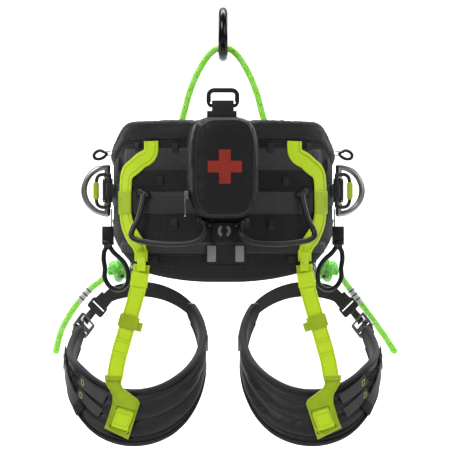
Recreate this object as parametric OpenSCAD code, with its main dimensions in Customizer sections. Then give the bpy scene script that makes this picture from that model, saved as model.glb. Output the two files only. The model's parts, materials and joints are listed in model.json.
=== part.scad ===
/* [Belt] */
// Half of the belt's outer width
belt_half_w = 175; // [165:1:185]
// Radius of the back of the belt, seen from above
back_r = 240; // [220:5:260]
// Radius of the sides of the belt, seen from above
side_r = 102; // [98:1:106]
// Distance from the wearer's centre to the back of the belt
back_y = 125; // [120:1:130]
// Height of the upper edge at the back
top_z = 124; // [118:1:128]
// Depth of the lower edge at the back
bottom_z = 124; // [118:1:128]
// Thickness of the padded belt
pad_t = 14; // [12:1:16]
/* [Bridge] */
// Rope diameter
rope_d = 11; // [10:0.5:12]
// Outer diameter of the suspension ring
ring_od = 90; // [84:1:94]
// Diameter of the ring's own bar
ring_bar = 16; // [14:1:17]
/* [Leg loops] */
// Thickness of the leg pads
leg_pad_t = 11; // [9:1:12]
// Width of the leg riser webbing
riser_w = 25; // [22:1:26]
/* [Pouch] */
// Width of the first aid pouch
pouch_w = 102; // [96:1:106]
// Height of the first aid pouch
pouch_h = 150; // [145:1:152]
// Depth of the first aid pouch
pouch_d = 46; // [42:1:48]
/* [Hidden] */
$fn = 32;
shell_t = 2;
liner_t = 3;
rim_h = 30;
rim_gap = 0.7;
web_t = 1.8;
touch = 0.3;
pad_end = 128;
side_join = asin((belt_half_w - side_r) / (back_r - side_r));
side_cx = (back_r - side_r) * sin(side_join);
back_cy = back_r - back_y;
side_cy = back_cy - (back_r - side_r) * cos(side_join);
front_y = side_cy + side_r;

// ---------- vectors, curves and sweeps ----------
function unit(v) = v / norm(v);
function mix(a, b, t) = a * (1 - t) + b * t;
function clamp01(t) = max(0, min(1, t));
function ease(t) = let (c = clamp01(t)) c * c * (3 - 2 * c);
// A Catmull-Rom curve through points, with k steps between each two
function curve(p, k) = [for (i = [0 : len(p) - 2], j = [0 : k - 1]) spline(p, i, j / k), p[len(p) - 1]];
function spline(p, i, t) = let (
        n = len(p) - 1,
        b = p[i],
        c = p[i + 1],
        a = i > 0 ? p[i - 1] : 2 * b - c,
        d = i + 2 <= n ? p[i + 2] : 2 * c - b)
    0.5 * (2 * b + (c - a) * t + (2 * a - 5 * b + 4 * c - d) * t * t + (3 * b - a - 3 * c + d) * t * t * t);
function tangent(p, i) = unit(p[min(i + 1, len(p) - 1)] - p[max(i - 1, 0)]);

// A closed solid through rings of points that all have the same number of points
module skin(rings) {
    m = len(rings[0]);
    n = len(rings);
    points = [for (r = rings) each r];
    sides = [for (i = [0 : n - 2], j = [0 : m - 1]) each [
        [i * m + j, i * m + (j + 1) % m, (i + 1) * m + (j + 1) % m],
        [i * m + j, (i + 1) * m + (j + 1) % m, (i + 1) * m + j]]];
    first = [for (j = [m - 1 : -1 : 0]) j];
    last = [for (j = [0 : m - 1]) (n - 1) * m + j];
    polyhedron(points, concat([first, last], sides));
}

// A round tube along a path; up is any direction that the path never follows
module tube(path, r, up, sides = 8) {
    skin([for (i = [0 : len(path) - 1]) let (
            t = tangent(path, i),
            a = unit(cross(t, up)),
            b = cross(a, t))
        [for (j = [0 : sides - 1]) path[i] + r * (cos(360 * j / sides) * a + sin(360 * j / sides) * b)]]);
}

// A flat strap along a path, with its face along the normals
module strap(path, normals, width, t) {
    skin([for (i = [0 : len(path) - 1]) let (
            n0 = is_num(normals[0]) ? normals : normals[i],
            a = tangent(path, i),
            side = unit(cross(a, n0)),
            n = unit(cross(side, a)),
            w = (is_num(width) ? width : width[i]) / 2)
        [path[i] - w * side - t / 2 * n, path[i] + w * side - t / 2 * n,
            path[i] + w * side + t / 2 * n, path[i] - w * side + t / 2 * n]]);
}

module both_sides(side) {
    if (side == "left") children();
    else mirror([1, 0, 0]) children();
}

// ---------- the belt's surface ----------
// phi is the direction that the surface faces: 0 is the back, -90 the wearer's left and 180 the front
function belt_at(phi, off, z) = let (
        s = phi < 0 ? -1 : 1,
        outward = [sin(phi), -cos(phi)],
        base = abs(phi) <= side_join ? [0, back_cy] + back_r * outward
            : [s * side_cx, side_cy] + side_r * outward)
    [each (base + off * outward), z];
function belt_metric(phi) = (abs(phi) <= side_join ? back_r : side_r) * PI / 180;
// Distance along the belt from its middle, and the direction at a distance
join_run = back_r * side_join * PI / 180;
function belt_run(phi) = sign(phi) * (abs(phi) <= side_join ? abs(phi) * belt_metric(0)
    : join_run + (abs(phi) - side_join) * belt_metric(90));
function belt_phi(run) = sign(run) * (abs(run) <= join_run ? abs(run) / belt_metric(0)
    : side_join + (abs(run) - join_run) / belt_metric(90));
function belt_top(phi) = top_z - 36 * ease((abs(phi) - 43) / 40) - 24 * ease((abs(phi) - 75) / 50);
function belt_bottom(phi) = -bottom_z + 72 * ease((abs(phi) - 5) / 92);
function steps(a, b, n) = [for (i = [0 : n]) a + (b - a) * i / n];

// A layer of the belt between two offsets from its outer surface
module belt_layer(angles, low, high, inner, outer) {
    skin([for (i = [0 : len(angles) - 1]) let (p = angles[i], a = low[i], b = high[i])
        [belt_at(p, inner, a), belt_at(p, outer, a), belt_at(p, outer, b), belt_at(p, inner, b)]]);
}

// A strap that lies on the belt, along [run, z, width] points
module belt_strap(points, inner, outer) {
    skin([for (i = [0 : len(points) - 1]) let (
            p = points[i],
            q = points[min(i + 1, len(points) - 1)] - points[max(i - 1, 0)],
            ahead = unit([q.x, q.y]),
            across = [for (k = [-2 : 2]) [belt_phi(p.x + ahead.y * k * p.z / 4), p.y - ahead.x * k * p.z / 4]])
        concat([for (k = [0 : 4]) belt_at(across[k].x, inner, across[k].y)],
            [for (k = [4 : -1 : 0]) belt_at(across[k].x, outer, across[k].y)])]);
}

pad_angles = concat(steps(-pad_end, -side_join, 18), steps(-side_join + 5, side_join - 5, 10),
    steps(side_join, pad_end, 18));
pad_low = [for (p = pad_angles) belt_bottom(p)];
pad_high = [for (p = pad_angles) belt_top(p) - rim_h * (1 - 0.45 * ease((abs(p) - 60) / 60))];

module waist_foam() {
    color("dimgray") belt_layer(pad_angles, pad_low, pad_high, -pad_t + liner_t, -shell_t);
}

module waist_shell() {
    color("#242427") belt_layer(pad_angles, pad_low, pad_high, -shell_t, 0);
}

module waist_liner() {
    color("#1b1b1d") belt_layer(pad_angles, pad_low, pad_high, -pad_t, -pad_t + liner_t);
}

module upper_rim() {
    tops = [for (p = pad_angles) belt_top(p)];
    color("#303033") skin([for (i = [0 : len(pad_angles) - 1]) let (
            p = pad_angles[i], a = pad_high[i], b = tops[i], m = (a + b) / 2)
        [belt_at(p, -pad_t, a + rim_gap), belt_at(p, 1, a + rim_gap), belt_at(p, 3, a + 4), belt_at(p, 3, m),
            belt_at(p, 0, b - 3), belt_at(p, -5, b), belt_at(p, -10, b), belt_at(p, -pad_t - 1, b - 4)]]);
}

// Each row's reach either way, its height at the back, its rise at the sides and its width
web_rows = [[52, 64, 0, 34], [108, -3, 14, 34], [58, -72, 0, 18]];
function row_z(row, phi) = row[1] + row[2] * ease((abs(phi) - 36) / 18);

module load_webbing() {
    color("#333336") for (row = web_rows) {
        angles = steps(-row[0], row[0], 36);
        belt_layer(angles, [for (p = angles) row_z(row, p) - row[3] / 2], [for (p = angles) row_z(row, p) + row[3] / 2],
            touch, web_t);
    }
}

daisy_spots = [[17.5, 81, 10, 16], [23.5, 30, 10, 14], [18, -36, 11, 18], [25.6, -90, 11, 10], [35, 84, 9, 12],
    [62, 57, 9, 20]];

module daisy_loops() {
    color("#161618") for (s = [-1, 1], d = daisy_spots) {
        half = d[2] / 2 / belt_metric(d[0]);
        angles = [s * d[0] - half, s * d[0], s * d[0] + half];
        low = [for (a = angles) d[1] - d[3] / 2];
        high = [for (a = angles) d[1] + d[3] / 2];
        belt_layer(angles, low, high, web_t + touch, 3.8);
    }
}

yoke_points = [[27, 92, 25], [27, 80, 25], [27.4, 73, 25], [28.8, 67.5, 26], [31.4, 62.5, 26], [34.5, 57.5, 27],
    [38.2, 53, 27], [41.8, 49.5, 27], [45.2, 45, 28], [47.4, 39, 28], [48.4, 31, 28], [49, 18, 28], [49, 4, 28], [49, -15, 28], [47, -33, 28], [41, -52, 27], [34.5, -65, 25], [31.5, -78, 23], [31, -92, 21]];

module yoke_strap(side) {
    mirrored = [for (p = yoke_points) [-belt_run(p.x), p.y, p.z]];
    color("#c6ee2a") both_sides(side) belt_strap(curve(mirrored, 3), web_t + touch, web_t + touch + 2);
}

module yoke_keeper(side) {
    angles = steps(-57, -41, 6);
    color("#a9cf20") both_sides(side)
        belt_layer(angles, [for (a = angles) -20], [for (a = angles) 16], web_t + touch + 2.2, web_t + touch + 4);
}

module size_label() {
    angles = steps(-6.5, 8.5, 6);
    color("#3a3a3d") belt_layer(angles, [for (a = angles) -95], [for (a = angles) -67], web_t + touch, web_t + 2.5);
}

module tag_pocket() {
    angles = steps(-3.8, 4.8, 4);
    color("#101012") belt_layer(angles, [for (a = angles) -62], [for (a = angles) -33], touch, 2.8);
}

// ---------- gear loops on the belt ----------
rear_loop_outer = [-121, -102, 12];
rear_loop_inner = [-26, -136, -34];
rear_loop_path = [rear_loop_outer, [-124, -106, -6], [-130, -110, -28], [-138, -113, -43], [-140, -117, -53],
    [-131, -124, -60], [-108, -135, -64], [-78, -144, -66], [-48, -149, -64], [-33, -149, -57], [-26, -144, -47], rear_loop_inner];

module rear_gear_loop(side) {
    axis = rear_loop_inner - rear_loop_outer;
    color("#2c2c2e") both_sides(side) {
        tube(curve(rear_loop_path, 2), 4.5, [0.25, -0.9, 0.45]);
        for (e = [rear_loop_outer, rear_loop_inner]) translate(e) rotate([0, 0, atan2(axis.y, axis.x)])
            rotate([0, 90 - atan2(axis.z, norm([axis.x, axis.y])), 0]) cylinder(h = 14, r = 4.6, center = true);
    }
}

side_hang = [-185, 14, -66];
side_loop_path = [[-187, 14, -72.5], [-191, 14, -80], [-192, 14, -92], [-190, 14, -106], [-190, 14, -122],
    [-182, 14, -136], [-168, 14, -141], [-156, 14, -134], [-152, 14, -119], [-156, 14, -103], [-165, 14, -91],
    [-175, 14, -82], [-182, 14, -72.5]];

module side_gear_loop(side) {
    color("#2c2c2e") both_sides(side) {
        tube(curve(side_loop_path, 2), 4, [0, 1, 0]);
        translate(side_hang) rotate([0, 90, 0]) difference() {
            cylinder(h = 14, r = 8, center = true);
            cylinder(h = 15, r = 3.4, center = true);
        }
    }
}

module gear_loop_tabs() {
    color("#19191b") for (s = ["left", "right"]) both_sides(s) {
        belt_layer([-36, -33.5, -31], [4, 4, 4], [20, 20, 20], web_t + touch, 3.4);
        belt_layer([-9.5, -7.5, -5.4], [-42, -42, -42], [-27, -27, -27], touch, 3.4);
        difference() {
            translate([side_hang.x, side_hang.y, -50]) cube([18.5, 14, 22], center = true);
            translate(side_hang) rotate([0, 90, 0]) cylinder(h = 14.8, r = 8.7, center = true);
        }
        translate(side_hang) rotate([0, 90, 0]) cylinder(h = 18.5, r = 3, center = true);
        for (s = [-1, 1]) translate([side_hang.x + s * 8.3, side_hang.y, -59.5]) cube([2, 12, 19], center = true);
        translate([-179.1, side_hang.y, -26]) cube([1.6, 11, 30], center = true);
    }
}

// ---------- D-rings, tool loops and accessory cords ----------
d_bar = 5;
d_arc = 37.5;
d_pos = [-185.5, 8, 18.5];
tool_bar = 3;
tool_pos = [-179, -34, 17];
tool_half_h = 24;
cord_bar = 2;
cord_hinge = [-185, -11, 77];

// A strap bracket that goes round an upright bar
module bar_bracket(bar_r, wrap_t, reach, h) {
    linear_extrude(height = h, center = true) difference() {
        union() {
            circle(r = bar_r + 0.4 + wrap_t);
            translate([0, -bar_r - 0.4 - wrap_t]) square([reach, 2 * (bar_r + 0.4 + wrap_t)]);
        }
        circle(r = bar_r + 0.4);
    }
}

module d_ring_bracket(side) {
    color("#1d1d1f") both_sides(side) {
        translate(d_pos) bar_bracket(d_bar, 3, 8.4, 38);
        translate(tool_pos) bar_bracket(tool_bar, 2.4, 5.2, 22);
        translate(cord_hinge) rotate([90, 0, 0]) bar_bracket(cord_bar, 1.5, 6.5, 7);
    }
}

module d_ring(side) {
    color("silver") both_sides(side) translate(d_pos) {
        cylinder(h = 2 * d_arc, r = d_bar, center = true);
        rotate([90, 0, 0]) rotate([0, 0, 90]) rotate_extrude(angle = 180, $fn = 64) translate([d_arc, 0]) circle(r = d_bar);
        for (s = [-1, 1]) translate([0, 0, s * d_arc]) sphere(r = d_bar);
        for (s = [-1, 1]) translate([0, 0, s * 24]) cylinder(h = 6, r = d_bar + 1.4, center = true);
    }
}

tool_out = -21.4;
sleeve_h = 27;
tool_loop_path = [[0, 0, 24], [-10, 0, 26], [-18, 0, 23], [-21, 0, 14], [-21.5, 0, 0], [-21, 0, -14], [-18, 0, -23],
    [-10, 0, -26], [0, 0, -24]];

module tool_loop(side) {
    color("#17171a") both_sides(side) translate(tool_pos) {
        cylinder(h = 2 * tool_half_h, r = tool_bar, center = true);
        difference() {
            tube(curve(tool_loop_path, 2), tool_bar, [0, 1, 0]);
            translate([tool_out, 0, 0]) cylinder(h = sleeve_h + 1, r = 3.8, center = true);
        }
        translate([tool_out, 0, 0]) cylinder(h = sleeve_h + 1, r = 2.6, center = true);
    }
}

module tool_loop_sleeve(side) {
    color("#b7db1f") both_sides(side) translate(tool_pos + [tool_out, 0, 0]) difference() {
        cylinder(h = sleeve_h, r = 4.7, center = true);
        cylinder(h = sleeve_h + 1, r = 2.9, center = true);
    }
}

accessory_path = [[-185, -17.6, 77], [-189.8, -17, 79.3], [-195, -13, 81.5], [-201, -11, 80], [-205.5, -11, 75],
    [-204, -11, 69.5], [-198, -11, 68], [-192, -8.2, 70], [-187.8, -4.6, 73.6], [-185, -4.4, 77]];

module accessory_cord(side) {
    color("#202022") both_sides(side) {
        tube(curve(accessory_path, 2), cord_bar, [0.2, 0.9, 0.3]);
        translate(cord_hinge) rotate([90, 0, 0]) cylinder(h = 14, r = cord_bar, center = true);
    }
}

// ---------- bridge, ring and rope tails ----------
eye_pos = [-150, 112, -112];
eye_len = 10;
bridge_lean = 42;
bridge_h = 365.5;
bridge_top = eye_pos.z + bridge_h;
rope_r = rope_d / 2;
knot_from = 158;
knot_to = 197;
ring_inner = ring_od / 2 - ring_bar - 0.2;
ring_z = bridge_top - rope_r - touch + ring_inner;
ring_y = eye_pos.y - bridge_lean;
function bridge_y(z) = eye_pos.y - bridge_lean * (z - eye_pos.z) / bridge_h;
bridge_half = [[162, -112], [150, -112], [140, -111], [130, -106], [122, -92], [117, -68], [111, -32], [103, 6],
    [93, 52], [80, 100], [66, 142], [56, 179], [43.5, 210], [27, 238], [12, 251.5]];

module bridge_rope() {
    points = concat([for (p = bridge_half) [-p[0], bridge_y(p[1]), p[1]]], [[0, ring_y, bridge_top]],
        [for (i = [len(bridge_half) - 1 : -1 : 0]) let (p = bridge_half[i]) [p[0], bridge_y(p[1]), p[1]]]);
    color("#3f7d2a") {
        tube(curve(points, 2), rope_r, [0, 1, 0.1]);
        translate([0, ring_y, bridge_top]) rotate([0, 90, 0]) cylinder(h = 12, r = rope_r, center = true);
        for (s = [-1, 1]) translate([s * knot_from, eye_pos.y, eye_pos.z]) rotate([0, s * 90, 0]) rotate_extrude()
            polygon([[0, 0], [12, 0], [16, 5], [18, 13], [18, 26], [15, 34], [9, knot_to - knot_from],
                [0, knot_to - knot_from]]);
    }
}

module bridge_ring() {
    color("#222225") translate([0, ring_y, ring_z]) rotate([0, 90, 0]) {
        rotate_extrude($fn = 64) translate([ring_inner + 0.2 + ring_bar / 2, 0]) circle(r = ring_bar / 2);
        difference() {
            cylinder(h = 8, r = ring_inner + 5, center = true, $fn = 64);
            cylinder(h = 9, r = ring_inner, center = true, $fn = 64);
        }
    }
}

tail_left = [[-197.6, 112, -124], [-207, 112, -132], [-224, 112, -146], [-243, 112, -168], [-258, 112, -190],
    [-271, 112, -216], [-279, 112, -248]];
tail_right = [[197.6, 112, -124], [212, 112, -144], [230, 112, -168], [248, 112, -192], [268, 112, -220],
    [286, 112, -248]];

module rope_tail(path) {
    color("#4b8a33") tube(curve(path, 2), rope_r, [0, 1, 0]);
}

module bridge_eye(side) {
    color("silver") both_sides(side) translate(eye_pos) rotate([0, 90, 0]) difference() {
        union() {
            rotate_extrude($fn = 48) translate([13, 0]) circle(r = 4.5);
            cylinder(h = eye_len, r = 12, center = true);
        }
        cylinder(h = eye_len + 1, r = rope_r + 0.6, center = true);
    }
}

hip_path = [[-168.6, 38, -20], [-167, 50, -44], [-157, 74, -66], [-151, 90, -84], [-149, 98, -97]];
hip_faces = [[-0.9, 0.42, 0], [-0.88, 0.45, 0.05], [-0.8, 0.58, 0.1], [-0.7, 0.6, 0.2], [-0.7, 0.6, 0.3]];
hip_widths = [46, 36, 27, 20, 14];

module hip_webbing(side) {
    color("#2a2a2d") both_sides(side) {
        skin([for (i = [0 : len(hip_path) - 1]) let (
                t = tangent(hip_path, i),
                across = unit(cross(t, hip_faces[i])),
                n = unit(cross(across, t)),
                w = hip_widths[i] / 2)
            [hip_path[i] - w * across - 1.5 * n, hip_path[i] + w * across - 1.5 * n,
                hip_path[i] + w * across + 1.5 * n, hip_path[i] - w * across + 1.5 * n]]);
    }
}

// ---------- closure at the front ----------
buckle_z = -22;
buckle_y = 97;
front_path = [[-149.5, 66, -2], [-128, 78, -12], [-98, 87.5, -20], [-70, 92, buckle_z], [-42.5, 93, buckle_z]];

module front_webbing() {
    color("#37373a") for (s = ["left", "right"]) both_sides(s)
        strap(curve(front_path, 3), [-0.25, 1, 0], 44, 2.6);
}

module rounded_plate(w, h, t, r) {
    rotate([90, 0, 0]) linear_extrude(height = t, center = true) rounded_outline(w, h, r);
}

module rounded_outline(w, h, r) {
    for (a = [-1, 1], b = [-1, 1]) translate([a * (w / 2 - r), b * (h / 2 - r)]) circle(r = r);
    square([w, h - 2 * r], center = true);
    square([w - 2 * r, h], center = true);
}

module belt_buckle_female() {
    color("#9a9a9e") translate([20.5, buckle_y + 1, buckle_z]) difference() {
        rounded_plate(41, 56, 13, 5);
        translate([-9, 0, 0]) cube([30, 7.4, 38], center = true);
        for (s = [-1, 1]) translate([-3.6, 0, s * 24.6]) cube([27.4, 14, 8], center = true);
        translate([14, 0, 0]) cube([5, 14, 46], center = true);
    }
}

module belt_buckle_male() {
    color("#77777b") translate([0, buckle_y + 1, buckle_z]) {
        translate([-21, 0, 0]) difference() {
            rounded_plate(41, 54, 6, 5);
            translate([-12, 0, 0]) cube([5, 7, 46], center = true);
        }
        translate([10, 0, 0]) cube([22.5, 6, 34], center = true);
    }
}

module belt_buckle_lever(s) {
    color("#c9c9cd") translate([0, buckle_y + 1, buckle_z]) translate([0, 0, s * 24.7]) difference() {
        union() {
            translate([16, 0, 0.4 * s]) cube([23, 10, 5], center = true);
            translate([27.5, 0, 0]) rotate([90, 0, 0]) cylinder(h = 10, r = 2.2, center = true);
        }
        for (i = [0 : 3]) translate([6 + 3.4 * i, 0, 3.6 * s]) cube([1.4, 12, 2], center = true);
    }
}

// ---------- first aid pouch ----------
pouch_back = -131;
pouch_z = 49;
zip_x = -pouch_w / 2 - 0.5;
zip_y = pouch_back - 31;
handle_z = 143;
handle_y = -150;

// The right half of the pouch's outline, from the top down, as shares of its half width and half height
pouch_half = [[0.3, 1], [0.52, 0.985], [0.72, 0.93], [0.87, 0.82], [0.96, 0.66], [1, 0.46], [1, 0], [1, -0.42],
    [0.97, -0.62], [0.88, -0.8], [0.72, -0.94], [0.52, -0.99], [0.3, -1]];

// The whole outline as a ring of points at one depth, moved sideways by shift
function panel(y, width_share, height_share, shift) = [for (side = [1, -1], i = [0 : len(pouch_half) - 1]) let (
        p = pouch_half[side > 0 ? i : len(pouch_half) - 1 - i])
    [side * p.x * width_share * pouch_w / 2 + shift, y, pouch_z + p.y * height_share * pouch_h / 2]];

module pouch_body() {
    front = pouch_back - pouch_d;
    color("#1a1a1d") skin([panel(pouch_back, 0.94, 0.96, 0), panel(pouch_back - 4, 1, 1, 0), panel(pouch_back - 31, 1, 1, 0),
        panel(pouch_back - 38, 0.97, 0.985, 1.5), panel(front + 2, 0.87, 0.95, 3.5), panel(front, 0.78, 0.88, 3.5)]);
}

module pouch_hanger() {
    color("#2b2b2e") {
        translate([0, handle_y + 6.6, 136.6]) cube([33, 1.8, 24.5], center = true);
        translate([0, handle_y - 6.6, 136.6]) cube([33, 1.8, 24.5], center = true);
        translate([0, handle_y, 149.7]) cube([33, 15, 1.8], center = true);
        translate([-1.5, handle_y - 9, 129.5]) cube([45, 1.6, 10], center = true);
    }
}

module pouch_handle() {
    color("#131315") translate([0, handle_y, 154]) difference() {
        rounded_plate(50, 31, 6, 12);
        translate([0, 0, 1]) rounded_plate(36, 15, 8, 4);
        translate([0, 0, -11]) cube([38, 8, 12], center = true);
    }
    color("#131315") translate([0, handle_y, handle_z]) rotate([0, 90, 0]) cylinder(h = 40, r = 3, center = true);
}

slider_z = 8;

module zip_slider() {
    color("#b9b9bd") translate([zip_x - 2.2, zip_y, slider_z]) difference() {
        union() {
            cube([3.4, 9, 12], center = true);
            translate([-2.5, 0, 3]) cube([3.6, 4, 6], center = true);
        }
        translate([-2.9, 0, 2.6]) rotate([90, 0, 0]) cylinder(h = 5, r = 1.3, center = true);
    }
}

module zip_pull() {
    color("#cfcfd2") translate([zip_x - 5.1, zip_y, slider_z + 2.6]) {
        rotate([90, 0, 0]) cylinder(h = 6, r = 1, center = true);
        for (s = [-1, 1]) translate([0, s * 3.2, -4.2]) cube([1.6, 1.4, 9.6], center = true);
        translate([0, 0, -22]) rotate([0, 0, 90]) rounded_plate(8, 27, 2, 3);
    }
}

// ---------- leg loops ----------
leg_mid = [-138, -5, -237];
leg_a = 112;
leg_b = 85;
leg_slope = 1.11;
riser_top = [-125, -98, -98];
leg_axis_front = [-168, 78, -122];

// A point of the leg loop; theta -90 is the back, 90 the front, 0 the inner side
function leg_at(theta, off, up) = let (
        c = [cos(theta), sin(theta)],
        n = unit([c.x / leg_a, c.y / leg_b]),
        y = leg_b * c.y)
    leg_mid + [leg_a * c.x + off * n.x, y + off * n.y, leg_slope * y + up - outer_drop(theta < -90 ? theta + 360 : theta)];
// How far the loop dips at its outer front, below a plane
function outer_drop(theta) = 26 * ease((theta - 110) / 35) * (1 - ease((theta - 165) / 60));
function leg_face(theta) = let (c = unit([cos(theta) / leg_a, sin(theta) / leg_b])) [c.x, c.y, 0];
function leg_width(theta) = let (d = abs(theta + 90)) 87 - 52 * ease((d - 30) / 105);
function pad_drop(theta) = -4 * cos(theta + 90);

module leg_pad(side) {
    angles = steps(-212, 40, 36);
    color("#1e1e21") both_sides(side) skin([for (a = angles) let (w = leg_width(a) / 2, d = pad_drop(a), t = leg_pad_t)
        [leg_at(a, -t, -w + 3 + d), leg_at(a, -t + 3, -w + d), leg_at(a, -3, -w + d), leg_at(a, 0, -w + 4 + d),
            leg_at(a, 0, w - 4 + d), leg_at(a, -3, w + d), leg_at(a, -t + 3, w + d), leg_at(a, -t, w - 3 + d)]]);
}

leg_web = 12.5;

module leg_strap(side) {
    color("#5c5c60") both_sides(side) {
        for (part = [[6, 122], [142, 188]]) skin([for (a = steps(part[0], part[1], 12))
            [leg_at(a, 0.5, -leg_web), leg_at(a, 2.7, -leg_web), leg_at(a, 2.7, leg_web), leg_at(a, 0.5, leg_web)]]);
        axis_barrel(leg_axis_front, 20);
    }
}

// A round bar of webbing along the axis that a leg loop swings on
module axis_barrel(at, len) {
    d = leg_axis_front - riser_top;
    translate(at) rotate([0, 0, atan2(d.y, d.x)]) rotate([0, 90 - atan2(d.z, norm([d.x, d.y])), 0])
        cylinder(h = len, r = 4, center = true);
}

// Puts a flat piece on the leg loop, its face outwards and its length along the loop
module on_leg(theta, off) {
    a = leg_at(theta - 1, off, 0);
    b = leg_at(theta + 1, off, 0);
    f = leg_face(theta);
    v = b - a;
    translate(leg_at(theta, off, 0)) rotate([0, 0, atan2(f.y, f.x) + 90])
        rotate([0, -atan2(v.z, norm([v.x, v.y])), 0]) children();
}

module leg_buckle_frame(side) {
    color("silver") both_sides(side) on_leg(140, 5.4) difference() {
        rounded_plate(30, 36, 3, 4);
        translate([-7, 0, 0]) cube([9, 5, 24], center = true);
        translate([8, 0, 0]) cube([5, 5, 27], center = true);
    }
}

module leg_buckle_tee(side) {
    color("#5a5a5e") both_sides(side) on_leg(126, 5.4) difference() {
        union() {
            rounded_plate(20, 33, 3, 4);
            translate([8, -1.8, 0]) cube([4, 6.6, 13], center = true);
            translate([19.4, -3.8, 0]) cube([26.8, 2.6, 13], center = true);
            translate([31.6, -1.4, 0]) cube([2.4, 7.4, 13], center = true);
        }
        translate([-4, 0, 0]) cube([5, 5, 26], center = true);
    }
}

riser_path = [riser_top, [-128, -99.5, -122], [-135, -101, -152], [-145, -101, -186], [-155, -101, -220],
    [-162, -99, -246], [-167, -97.5, -274]];
riser_run = riser_path[4] - riser_path[2];

module leg_riser(side) {
    color("#c6ee2a") both_sides(side) {
        strap(concat([riser_path[0]], curve([for (i = [1 : 6]) riser_path[i]], 2)), [0, -1, 0], riser_w, 2.2);
        strap([[-126.6, -100.4, -110], [-130, -101.2, -132]], [0, -1, 0], riser_w + 2, 5);
        axis_barrel(riser_top + [0, -3.4, 0], 12);
    }
}

module riser_adjuster(side) {
    tilt = atan2(-riser_run.x, -riser_run.z);
    color("#a9cf20") both_sides(side) translate(riser_path[3]) rotate([0, tilt, 0]) difference() {
        union() {
            cube([riser_w + 6, 8, 20], center = true);
            translate([riser_w / 2 + 6, 0, -3]) cube([8, 4, 14], center = true);
        }
        cube([riser_w + 1.6, 3.6, 22], center = true);
    }
}

fork_outline = [[-183, -268], [-181, -281], [-168, -303], [-177, -334], [-183, -350], [-146, -368], [-128, -312],
    [-131, -306], [-154, -289], [-157, -282], [-155, -272]];

module leg_fork(side) {
    color("#c6ee2a") both_sides(side) translate([0, -91.5, 0]) rotate([90, 0, 0]) linear_extrude(height = 4) difference() {
        polygon(fork_outline);
        translate([-150, -322]) rotate(-15) square([30, 6], center = true);
        translate([-160, -352]) rotate(-22) square([32, 5], center = true);
    }
}

waist_foam();
waist_shell();
waist_liner();
upper_rim();
load_webbing();
daisy_loops();
yoke_strap("left");  // yoke_strap_left
yoke_strap("right");  // yoke_strap_right
yoke_keeper("left");  // yoke_keeper_left
yoke_keeper("right");  // yoke_keeper_right
size_label();
tag_pocket();
gear_loop_tabs();
d_ring_bracket("left");  // d_ring_bracket_left
d_ring_bracket("right");  // d_ring_bracket_right
d_ring("left");  // d_ring_left
d_ring("right");  // d_ring_right
tool_loop("left");  // tool_loop_left
tool_loop("right");  // tool_loop_right
tool_loop_sleeve("left");  // tool_loop_sleeve_left
tool_loop_sleeve("right");  // tool_loop_sleeve_right
accessory_cord("left");  // accessory_cord_left
accessory_cord("right");  // accessory_cord_right
rear_gear_loop("left");  // rear_gear_loop_left
rear_gear_loop("right");  // rear_gear_loop_right
side_gear_loop("left");  // side_gear_loop_left
side_gear_loop("right");  // side_gear_loop_right
hip_webbing("left");  // hip_webbing_left
hip_webbing("right");  // hip_webbing_right
bridge_eye("left");  // bridge_eye_left
bridge_eye("right");  // bridge_eye_right
front_webbing();
belt_buckle_female();
belt_buckle_male();
belt_buckle_lever(1);  // belt_buckle_lever_upper
belt_buckle_lever(-1);  // belt_buckle_lever_lower
bridge_rope();
bridge_ring();
rope_tail(tail_left);  // rope_tail_left
rope_tail(tail_right);  // rope_tail_right
pouch_body();
pouch_hanger();
pouch_handle();
zip_slider();
zip_pull();
leg_pad("left");  // leg_pad_left
leg_pad("right");  // leg_pad_right
leg_strap("left");  // leg_strap_left
leg_strap("right");  // leg_strap_right
leg_buckle_frame("left");  // leg_buckle_frame_left
leg_buckle_frame("right");  // leg_buckle_frame_right
leg_buckle_tee("left");  // leg_buckle_tee_left
leg_buckle_tee("right");  // leg_buckle_tee_right
leg_riser("left");  // leg_riser_left
leg_riser("right");  // leg_riser_right
leg_fork("left");  // leg_fork_left
leg_fork("right");  // leg_fork_right
riser_adjuster("left");  // riser_adjuster_left
riser_adjuster("right");  // riser_adjuster_right
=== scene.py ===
import json
import math
import random

import bmesh
import bpy
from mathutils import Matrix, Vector
from mathutils.bvhtree import BVHTree

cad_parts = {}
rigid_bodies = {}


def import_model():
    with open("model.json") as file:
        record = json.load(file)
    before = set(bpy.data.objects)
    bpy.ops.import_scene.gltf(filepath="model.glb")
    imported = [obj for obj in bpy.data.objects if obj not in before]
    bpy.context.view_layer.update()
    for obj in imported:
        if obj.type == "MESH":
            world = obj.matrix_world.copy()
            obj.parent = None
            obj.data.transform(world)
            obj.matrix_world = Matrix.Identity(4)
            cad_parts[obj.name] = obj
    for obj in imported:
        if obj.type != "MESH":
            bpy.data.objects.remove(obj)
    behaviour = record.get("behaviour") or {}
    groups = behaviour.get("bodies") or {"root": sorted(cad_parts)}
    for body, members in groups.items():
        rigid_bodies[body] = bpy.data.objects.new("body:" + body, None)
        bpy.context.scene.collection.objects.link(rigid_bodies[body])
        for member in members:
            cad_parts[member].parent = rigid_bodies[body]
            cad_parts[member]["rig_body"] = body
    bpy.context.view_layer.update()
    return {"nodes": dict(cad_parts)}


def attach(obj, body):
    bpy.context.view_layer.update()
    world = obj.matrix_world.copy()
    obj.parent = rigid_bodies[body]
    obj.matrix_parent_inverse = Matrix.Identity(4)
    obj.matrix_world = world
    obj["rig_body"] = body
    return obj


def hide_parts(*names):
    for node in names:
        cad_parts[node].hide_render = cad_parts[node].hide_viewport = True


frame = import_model()
random.seed(7)

MM = 0.001
SIDES = ("left", "right")
DEPTH = Vector((0, 1, 0))


def V(x, y, z):
    return Vector((x * MM, y * MM, z * MM))


def mirror(p):
    return Vector((-p.x, p.y, p.z))


def cosd(a):
    return math.cos(math.radians(a))


def sind(a):
    return math.sin(math.radians(a))


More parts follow.
